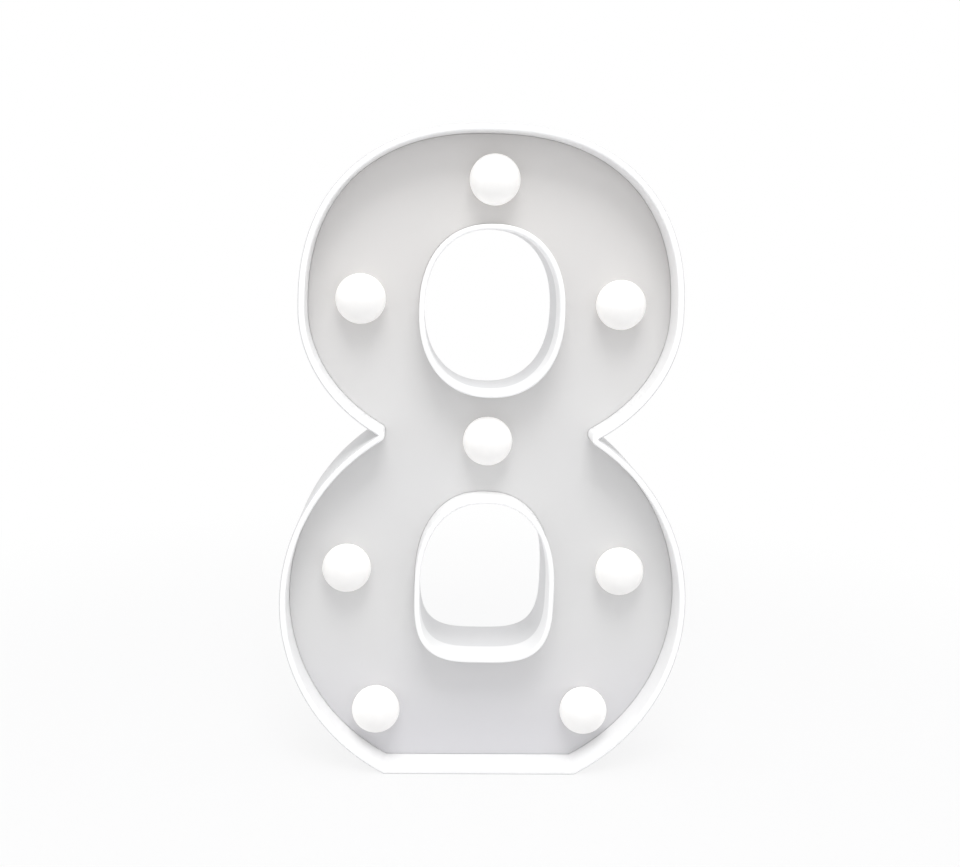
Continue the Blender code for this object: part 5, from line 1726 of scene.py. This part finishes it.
@dataclass(frozen=True)
class Cells(Assembly):
    """Two cells, each with a crimped rim and a nub, and their contacts and springs."""

    nub_radius: float = 2.75 * MM
    nub_length: float = 1.2 * MM
    nub_round: float = 0.3 * MM
    rim_width: float = 1.3 * MM
    rim_drop: float = 0.3 * MM
    edge_round: float = 0.5 * MM
    edge_share: float = 0.3
    crease: float = 35.0
    sides: int = 64
    wire_radius: float = 0.35 * MM
    spring_length: float = 3.2 * MM
    spring_turns: float = 3.0
    spring_steps: int = 40
    foot_radius: float = 4.6 * MM
    top_radius: float = 2.4 * MM
    plate_depth: float = 1.45 * MM
    plate_round: float = 0.12 * MM
    contacts: tuple[str, ...] = ("bridge_contact", "positive_contact", "negative_contact")

    def profile(self) -> list[Flat]:
        """Radii and heights of a cell, from its nub down its side."""
        half, radius = self.bay.cell_length / 2, self.bay.cell_radius
        shoulder = half - self.nub_length
        plate, edge = shoulder - self.rim_drop, self.edge_round
        soft = edge * self.edge_share
        return [
            (0.0, half),
            (self.nub_radius - self.nub_round, half),
            (self.nub_radius, half - self.nub_round),
            (self.nub_radius, plate),
            (radius - self.rim_width - self.rim_drop, plate),
            (radius - self.rim_width, shoulder),
            (radius - edge, shoulder),
            (radius - soft, shoulder - soft),
            (radius, shoulder - edge),
            (radius, edge - half),
            (radius - soft, soft - half),
            (radius - edge, -half),
            (0.0, -half),
        ]

    def build(self) -> dict[str, Piece]:
        """Builds the cells, contacts and springs.

        Returns:
            The pieces by the names of the nodes that they stand for.
        """
        bay, pieces = self.bay, {}
        for number, side in enumerate((1, -1)):
            height = bay.cell_height(side)
            places = [(side * bay.cell_shift, bay.cell_axis, height)]
            values = {"Sides": self.sides, "Tilt Y": side * math.pi / 2}
            sleeve, name = self.sleeve(side), f"cell_{number + 1}"
            pieces[f"aa_{name}"] = turned_piece(name, self.profile(), places, sleeve, values, self.crease)
            name = "bridge_spring" if side > 0 else "negative_spring"
            pieces[name] = self.spring(name, -side, height)
        for name in self.contacts:
            pieces[name] = smoothed(softened(merged_copy(f"stamped_{name}", name), self.plate_round))
        return pieces

    def sleeve(self, side: int) -> Finish:
        """The sleeve of the cell whose positive end points to this side, 1 for the right."""
        name = f"cell_sleeve_{'right' if side > 0 else 'left'}"
        half = self.bay.cell_length / 2
        ends = {"positive_end": half - self.nub_length, "negative_end": half}
        return CellSleeve(name, Slot.CELL, centre=side * self.bay.cell_shift, side=side, **ends)

    def spring(self, name: str, side: int, height: float) -> Piece:
        """A conical coil between its plate and its cell.

        Args:
            name: the node that it stands for.
            side: the end of the tray, 1 for the right.
            height: height of its axis.

        Returns:
            The spring.
        """
        values = {
            "Resolution": self.spring_steps,
            "Rotations": self.spring_turns,
            "Start Radius": self.foot_radius,
            "End Radius": self.top_radius,
            "Height": self.spring_length,
            "Wire Radius": self.wire_radius,
        }
        seed = seed_points("coil_seed", [(0, 0, 0)])
        coil = TREES["coil"].grow(f"coil_{name}", seed, NICKEL, values)
        foot = side * (self.bay.half_length - self.plate_depth)
        turn = Matrix.Rotation(-side * math.pi / 2, 4, "Y")
        coil.data.transform(Matrix.Translation((foot, self.bay.cell_axis, height)) @ turn)
        return smoothed(coil)

    def dress(self, pieces: Mapping[str, Piece]) -> None:
        """Gives the pieces their finishes and their places in the model."""
        finishes = {"aa_cell_1": self.sleeve(1), "aa_cell_2": self.sleeve(-1)}
        for name, piece in pieces.items():
            settle(piece, finishes.get(name, NICKEL), Body.NUMBER, name)


@dataclass(frozen=True)
class PanelScrews(Assembly):
    """Eight self-tapping screws with cross recesses."""

    head_radius: float = 2.3 * MM
    head_height: float = 1.5 * MM
    head_round: float = 0.55 * MM
    head_steps: int = 4
    shank_radius: float = 1.1 * MM
    root_share: float = 0.8
    length: float = 9.0 * MM
    point: float = 1.2 * MM
    neck: float = 0.4 * MM
    turns: int = 9
    sink: float = 0.4 * MM
    cross: Triple = (2.6 * MM, 0.6 * MM, 0.9 * MM)
    crease: float = 35.0
    sides: int = 28

    def profile(self) -> list[Flat]:
        """Radii and heights from the top of the head down to the point, with a thread."""
        soft, neck = self.head_round, -self.head_height
        edge = arc((self.head_radius - soft, -soft), (soft, soft), math.pi / 2, 0.0, self.head_steps)
        points = [(0.0, 0.0), *edge]
        root = self.shank_radius * self.root_share
        points += [(self.head_radius, neck), (root, neck)]
        pitch = (self.length - self.neck - self.point) / self.turns
        for turn in range(self.turns):
            height = neck - self.neck - pitch * turn
            points += [(root, height), (self.shank_radius, height - pitch / 2)]
        return points + [(root, neck - self.length + self.point), (0.0, neck - self.length)]

    def build(self) -> Piece:
        """Builds all the screws as one mesh, since they sit in one body."""
        depth = self.stack.rear - self.sink
        places = [(across, depth, height) for across, height in self.figure.screw_places()]
        values = {"Sides": self.sides, "Tilt X": -math.pi / 2, **dict(zip(CROSS, self.cross))}
        return turned_piece("panel_screws", self.profile(), places, ZINC, values, self.crease)

    def dress(self, screws: Piece) -> None:
        """Gives the screws their finish and their places in the model."""
        names = [f"{bowl}_{level}" for bowl in ("upper", "lower") for level in ("high", "low")]
        nodes = [f"screw_{name}_{side}" for name in names for side in ("right", "left")]
        settle(screws, ZINC, Body.NUMBER, *nodes)


@dataclass(frozen=True)
class Electrics(Assembly):
    """Diodes with soldered legs, wires, resistor and slide switch."""

    led_radius: float = 2.5 * MM
    led_length: float = 7.0 * MM
    dome_steps: int = 10
    flange_radius: float = 2.9 * MM
    flange_thickness: float = 1.0 * MM
    flange_round: float = 0.2 * MM
    flange_back: float = 0.7 * MM
    leg_radius: float = 0.25 * MM
    leg_length: float = 3.0 * MM
    leg_pitch: float = 2.54 * MM
    bare_share: float = 0.75
    solder_radius: float = 0.72 * MM
    solder_steps: int = 8
    tip_steps: int = 4
    wire_radius: float = 0.6 * MM
    wire_step: float = 3.0 * MM
    lead_in_step: float = 1.5 * MM
    lead_step: float = 1.0 * MM
    drop_steps: int = 3
    string_shares: Triple = (0.5, 0.6, 1.2)
    lead_shares: Triple = (0.4, 0.6, 0.9)
    pin_pitch: float = 2.5 * MM
    resistor_radius: float = 1.1 * MM
    resistor_half: float = 2.5 * MM
    resistor_lead: float = 0.3 * MM
    resistor_waist: float = 0.2
    waist_reach_share: float = 0.6
    shoulder_power: float = 8.0
    resistor_steps: int = 12
    sides: int = 24
    ridge_gaps: int = 3
    ridge_pitch: float = 0.75 * MM
    ridge_gap: float = 0.3 * MM
    ridge_depth: float = 0.3 * MM
    ridge_round: float = 0.06 * MM
    ridge_overrun: float = 1.0 * MM
    case_round: float = 0.15 * MM

    def led_profile(self) -> list[Flat]:
        """Radii and heights of a diode, from its dome down to its flange's back."""
        radius, thick, soft = self.led_radius, self.flange_thickness, self.flange_round
        centre = (0.0, self.led_length - radius)
        return [
            *arc(centre, (radius, radius), math.pi / 2, 0.0, self.dome_steps),
            (radius, thick),
            (self.flange_radius - soft, thick),
            (self.flange_radius, thick - soft),
            (self.flange_radius, soft),
            (self.flange_radius - soft, 0.0),
            (0.0, 0.0),
        ]

    def leg_profile(self) -> list[Flat]:
        """Radii and heights of a leg, from inside its flange to its drop of solder on the wire."""
        tip = -self.leg_length
        drop = tip - self.stack.gap
        start = tip * self.bare_share
        points = [(0.0, self.stack.gap), (self.leg_radius, self.stack.gap), (self.leg_radius, start)]
        for share in [step / self.solder_steps for step in range(1, self.solder_steps + 1)]:
            radius = mix(self.leg_radius, self.solder_radius, math.sin(share * math.pi / 2) ** 2)
            points.append((radius, mix(start, drop, share)))
        reach = (self.solder_radius, self.wire_radius)
        return points + arc((0.0, drop), reach, 0.0, -math.pi / 2, self.tip_steps)[1:]

    def resistor_profile(self, half_length: float) -> list[Flat]:
        """Radii and heights of the resistor: a lead, a dumb-bell body and a lead.

        Args:
            half_length: half its length with its leads.

        Returns:
            The profile from the top down.
        """
        lead, half = self.resistor_lead, self.resistor_half
        points = [(0.0, half_length), (lead, half_length), (lead, half)]
        for along in [1 - step / self.resistor_steps for step in range(1, 2 * self.resistor_steps)]:
            shoulder = math.sqrt(1 - abs(along) ** self.shoulder_power)
            bend = math.cos(min(abs(along) / self.waist_reach_share, 1.0) * math.pi / 2)
            waist = 1 - self.resistor_waist * bend
            points.append((mix(lead, self.resistor_radius, shoulder * waist), along * half))
        return points + [(lead, -half), (lead, -half_length), (0.0, -half_length)]

    def wire(self, name: str, points: Sequence[Vector]) -> Piece:
        """A wire through the points."""
        edges = [(index, index + 1) for index in range(len(points) - 1)]
        seed, values = seed_points(f"{name}_line", points, edges), {"Wire Radius": self.wire_radius}
        return smoothed(TREES["wire"].grow(f"insulated_{name}", seed, self.finishes()[name], values))

    def leg_places(self) -> list[Triple]:
        """Where the legs of the diodes leave their flanges, square to the string."""
        route = self.figure.string_route()
        names, spots = list(route), [Vector(spot) for spot in route.values()]
        places = []
        for name in self.figure.bulb_places():
            index = names.index(name)
            along = spots[min(index + 1, len(spots) - 1)] - spots[max(index - 1, 0)]
            aside = Vector((-along.y, along.x)).normalized() * self.leg_pitch / 2
            for spot in (spots[index] + aside, spots[index] - aside):
                places.append((spot.x, self.flange_back, spot.y))
        return places

    def string_wires(self) -> dict[str, Piece]:
        """The two wires that pass behind the legs of every diode, with their lead-ins."""
        knots = [Vector((across, up, 0)) for across, up in self.figure.string_route().values()]
        line = smooth_line(knots, self.wire_step)
        depth = self.flange_back + self.leg_length + self.stack.gap + self.wire_radius
        pin_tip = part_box("switch_body")[0][1]
        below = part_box("resistor")[0][2] - self.stack.gap
        lead_depth = pin_tip - self.stack.gap - self.resistor_lead
        starts = {
            "string_wire_positive": Vector((self.bay.switch_place[0], lead_depth, below)),
            "string_wire_negative": Vector((self.tab_end(), self.bay.cell_axis, self.bay.cell_height(-1))),
        }
        wires = {}
        for side, (name, start) in zip((1, -1), starts.items()):
            points = []
            for before, place, after in zip([line[0], *line], line, [*line[1:], line[-1]]):
                direction = (after - before).normalized()
                aside = Vector((direction.y, -direction.x)) * side * self.leg_pitch / 2
                points.append(Vector((place.x + aside.x, depth, place.y + aside.y)))
            drop = points[0] - (points[1] - points[0]) * self.drop_steps
            bend = self.between(start, drop, self.string_shares)
            lead_in = smooth_line([start, bend, drop, points[0]], self.lead_in_step)
            wires[name] = self.wire(name, lead_in[:-1] + points)
        return wires

    def tab_end(self) -> float:
        """How far out a wire's middle lies at the end of a contact's solder tab."""
        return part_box("negative_contact")[1][0] + self.stack.gap + self.wire_radius

    @staticmethod
    def between(start: Vector, end: Vector, shares: Sequence[float]) -> Vector:
        """The point that lies its own share of the way from start to end along each axis."""
        return Vector([mix(near, far, share) for near, far, share in zip(start, end, shares)])

    def battery_lead(self) -> Piece:
        """The wire from the positive contact to the first pin of the switch."""
        across, height = self.bay.switch_place
        start = Vector((self.tab_end(), self.bay.cell_axis, self.bay.cell_height(1)))
        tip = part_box("switch_body")[0][1] - self.stack.gap - self.wire_radius
        end = Vector((across, tip, height + self.pin_pitch))
        line = smooth_line([start, self.between(start, end, self.lead_shares), end], self.lead_step)
        return self.wire("battery_lead", line)

    def slider(self) -> Piece:
        """The slider, with ridges across its knob."""
        piece = merged_copy("ridged_slider", "switch_slider")
        low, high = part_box("switch_slider")
        across, middle = (low[0] + high[0]) / 2, (low[2] + high[2]) / 2
        sides = (high[0] - low[0] + self.ridge_overrun, 2 * self.ridge_depth, self.ridge_gap)
        gaps = []
        for number in range(self.ridge_gaps):
            height = middle + (number - (self.ridge_gaps - 1) / 2) * self.ridge_pitch
            gaps.append(block(f"ridge_gap_{number}", (across, high[1], height), sides))
        return combined(piece, gaps, "DIFFERENCE")

    def build(self) -> dict[str, Piece]:
        """Builds the pieces.

        Returns:
            The pieces by the names of the nodes that they stand for, and the legs of the diodes.
        """
        upright, finishes = {"Sides": self.sides}, self.finishes()
        forward = {**upright, "Tilt X": math.pi / 2}
        places, pieces = self.leg_places(), {}
        for name, (across, height) in self.figure.bulb_places().items():
            spots = [(across, self.flange_back, height)]
            diode = turned_piece(f"diode_{name}", self.led_profile(), spots, LED_EPOXY, forward)
            pieces[f"led_{name}"] = diode
        pieces["legs"] = turned_piece("diode_legs", self.leg_profile(), places, finishes["legs"], forward)
        low, high = (Vector(corner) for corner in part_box("resistor"))
        profile, places = self.resistor_profile((high.z - low.z) / 2), [(low + high) / 2]
        lacquer = finishes["resistor"]
        pieces["resistor"] = turned_piece("banded_resistor", profile, places, lacquer, upright)
        pieces.update(self.string_wires())
        pieces["battery_lead"] = self.battery_lead()
        case = merged_copy("switch_case", "switch_body")
        pieces["switch_body"] = smoothed(softened(case, self.case_round))
        pieces["switch_slider"] = smoothed(softened(self.slider(), self.ridge_round, 1))
        return pieces

    @staticmethod
    def finishes() -> dict[str, Finish]:
        """The finish of each piece but the diodes."""
        low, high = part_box("resistor")
        lacquer = BandedLacquer("banded_lacquer", Slot.RESISTOR, centre=(low[2] + high[2]) / 2)
        return {
            "legs": NICKEL,
            "string_wire_positive": RED_WIRE,
            "string_wire_negative": BLACK_WIRE,
            "battery_lead": RED_WIRE,
            "resistor": lacquer,
            "switch_body": NICKEL,
            "switch_slider": SWITCH_PLASTIC,
        }

    def dress(self, pieces: Mapping[str, Piece]) -> None:
        """Gives the pieces their finishes and their places in the model."""
        for name, piece in pieces.items():
            body = Body.SLIDER if name == "switch_slider" else Body.NUMBER
            nodes = [] if name == "legs" else [name]
            settle(piece, self.finishes().get(name, LED_EPOXY), body, *nodes)


# Studio


@dataclass(frozen=True)
class Lamp:
    """A soft square lamp."""

    name: str
    place: Triple
    side: float
    power: float
    target: Triple = (0.0, 0.0, 0.11)

    def build(self) -> None:
        """Hangs the lamp and turns it to its target."""
        light = bpy.data.lights.new(self.name, "AREA")
        light.shape = "SQUARE"
        light.size = self.side
        light.energy = self.power
        lamp = bpy.data.objects.new(self.name, light)
        lamp.location = self.place
        direction = Vector(self.target) - Vector(self.place)
        lamp.rotation_euler = direction.to_track_quat("-Z", "Y").to_euler()
        bpy.context.scene.collection.objects.link(lamp)


@dataclass(frozen=True)
class Studio:
    """Pale floor that runs up into a backdrop, soft lamps and the camera of the photograph."""

    camera_place: Triple = (-22.02 * MM, -389.25 * MM, 185.83 * MM)
    pitch: float = math.radians(9.906)
    yaw: float = math.radians(2.922)
    roll: float = math.radians(1.589)
    focal_length: float = 43.125
    sensor_width: float = 36.0
    clip_start: float = 0.01
    floor_half: float = 2.5
    backdrop_radius: float = 0.6
    backdrop_steps: int = 16
    floor_tint: Colour = (0.74, 0.74, 0.75)
    floor_shade: Colour = (0.70, 0.70, 0.71)
    floor_clouds: Clouds = Clouds(0.3)
    shadow_reach: float = 0.16
    shadow_end: float = 0.4
    shadow_share: float = 0.84
    lamps: tuple[Lamp, ...] = (
        Lamp("key_lamp", place=(0.0, -0.55, 1.06), side=0.50, power=5.3),
        Lamp("front_lamp", place=(0.20, -1.5, 0.50), side=1.2, power=0.5),
    )
    world_strength: float = 0.98

    def build_camera(self) -> None:
        """Sets up the camera at the photograph's viewing angle."""
        data = bpy.data.cameras.new("photo_camera")
        data.lens = self.focal_length
        data.sensor_width = self.sensor_width
        data.clip_start = self.clip_start
        camera = bpy.data.objects.new("photo_camera", data)
        turn = Euler((math.pi / 2 - self.pitch, 0.0, -self.yaw), "XYZ").to_matrix().to_4x4()
        turn = turn @ Matrix.Rotation(self.roll, 4, "Z")
        camera.matrix_world = Matrix.Translation(self.camera_place) @ turn
        bpy.context.scene.collection.objects.link(camera)
        bpy.context.scene.camera = camera

    def build_floor(self) -> None:
        """Lays the floor, which bends up into the backdrop behind the numeral."""
        half, radius = self.floor_half, self.backdrop_radius
        line = [(-half, 0.0), (half - radius, 0.0)]
        bend = arc((half - radius, radius), (radius, radius), -math.pi / 2, 0.0, self.backdrop_steps)
        line += [*bend[1:], (half, 2 * half)]
        vertices = [(side * 2 * half, depth, height) for depth, height in line for side in (-1, 1)]
        faces = [(2 * index, 2 * index + 1, 2 * index + 3, 2 * index + 2) for index in range(len(line) - 1)]
        mesh = bpy.data.meshes.new("floor")
        mesh.from_pydata(vertices, [], faces)
        floor = new_piece("floor", mesh)
        mesh.shade_smooth()
        mesh.materials.append(self.floor_material())

    @staticmethod
    def seen(surface: Graph) -> Signal:
        """1 for rays that show the background: straight, mirrored or through clear plastic."""
        others: Value = 1.0
        for name in ("Is Camera Ray", "Is Glossy Ray", "Is Transmission Ray"):
            others = others * (1 - surface.node("ShaderNodeLightPath", {}, {}, name))
        return 1 - others

    def floor_material(self) -> bpy.types.Material:
        """A pale floor that looks white and keeps the numeral's shadow."""
        surface = Surface("pale_floor")
        clouds = surface.noise(self.floor_clouds)
        surface.feed("Base Color", surface.blend(clouds, self.floor_tint, self.floor_shade))
        surface.constant({"Roughness": 0.9, "Specular IOR Level": 0.1})
        glow = surface.node("ShaderNodeEmission", {}, {"Color": (1.0, 1.0, 1.0, 1.0), "Strength": 1.0})
        plain = Signal(surface, surface.shader.outputs["BSDF"])
        away = surface.node("ShaderNodeVectorMath", {"operation": "LENGTH"}, {0: surface.place()}, "Value")
        share = away.ease(self.shadow_reach, self.shadow_end, self.shadow_share, 1.0)
        inputs = {"Fac": self.seen(surface) * share, 1: plain, 2: glow}
        mixed = surface.node("ShaderNodeMixShader", {}, inputs)
        surface.tree.links.new(mixed.socket, surface.tree.nodes["Material Output"].inputs["Surface"])
        return surface.material

    def build_world(self) -> None:
        """A plain light world that looks white."""
        world = bpy.data.worlds.new("studio_world")
        world.use_nodes = True
        graph = Graph(world.node_tree)
        background = world.node_tree.nodes["Background"]
        background.inputs["Color"].default_value = (1.0, 1.0, 1.0, 1.0)
        strength = self.seen(graph) * (1 - self.world_strength) + self.world_strength
        world.node_tree.links.new(strength.socket, background.inputs["Strength"])
        bpy.context.scene.world = world

    def build(self) -> None:
        """Builds the whole studio."""
        self.build_camera()
        self.build_floor()
        self.build_world()
        for lamp in self.lamps:
            lamp.build()
        bpy.context.scene.view_settings.view_transform = "Standard"


def main() -> None:
    """Builds the studio and every sub-assembly in order."""
    logging.basicConfig(level=logging.INFO, format="%(message)s")
    Studio().build()
    for kind in (ChannelShell, BulbSet, RearPanel, BayDoor, Cells, PanelScrews, Electrics):
        assembly = kind()
        assembly.dress(assembly.build())
        LOG.info("%s is done", kind.__name__)


if __name__ == "__main__":
    main()
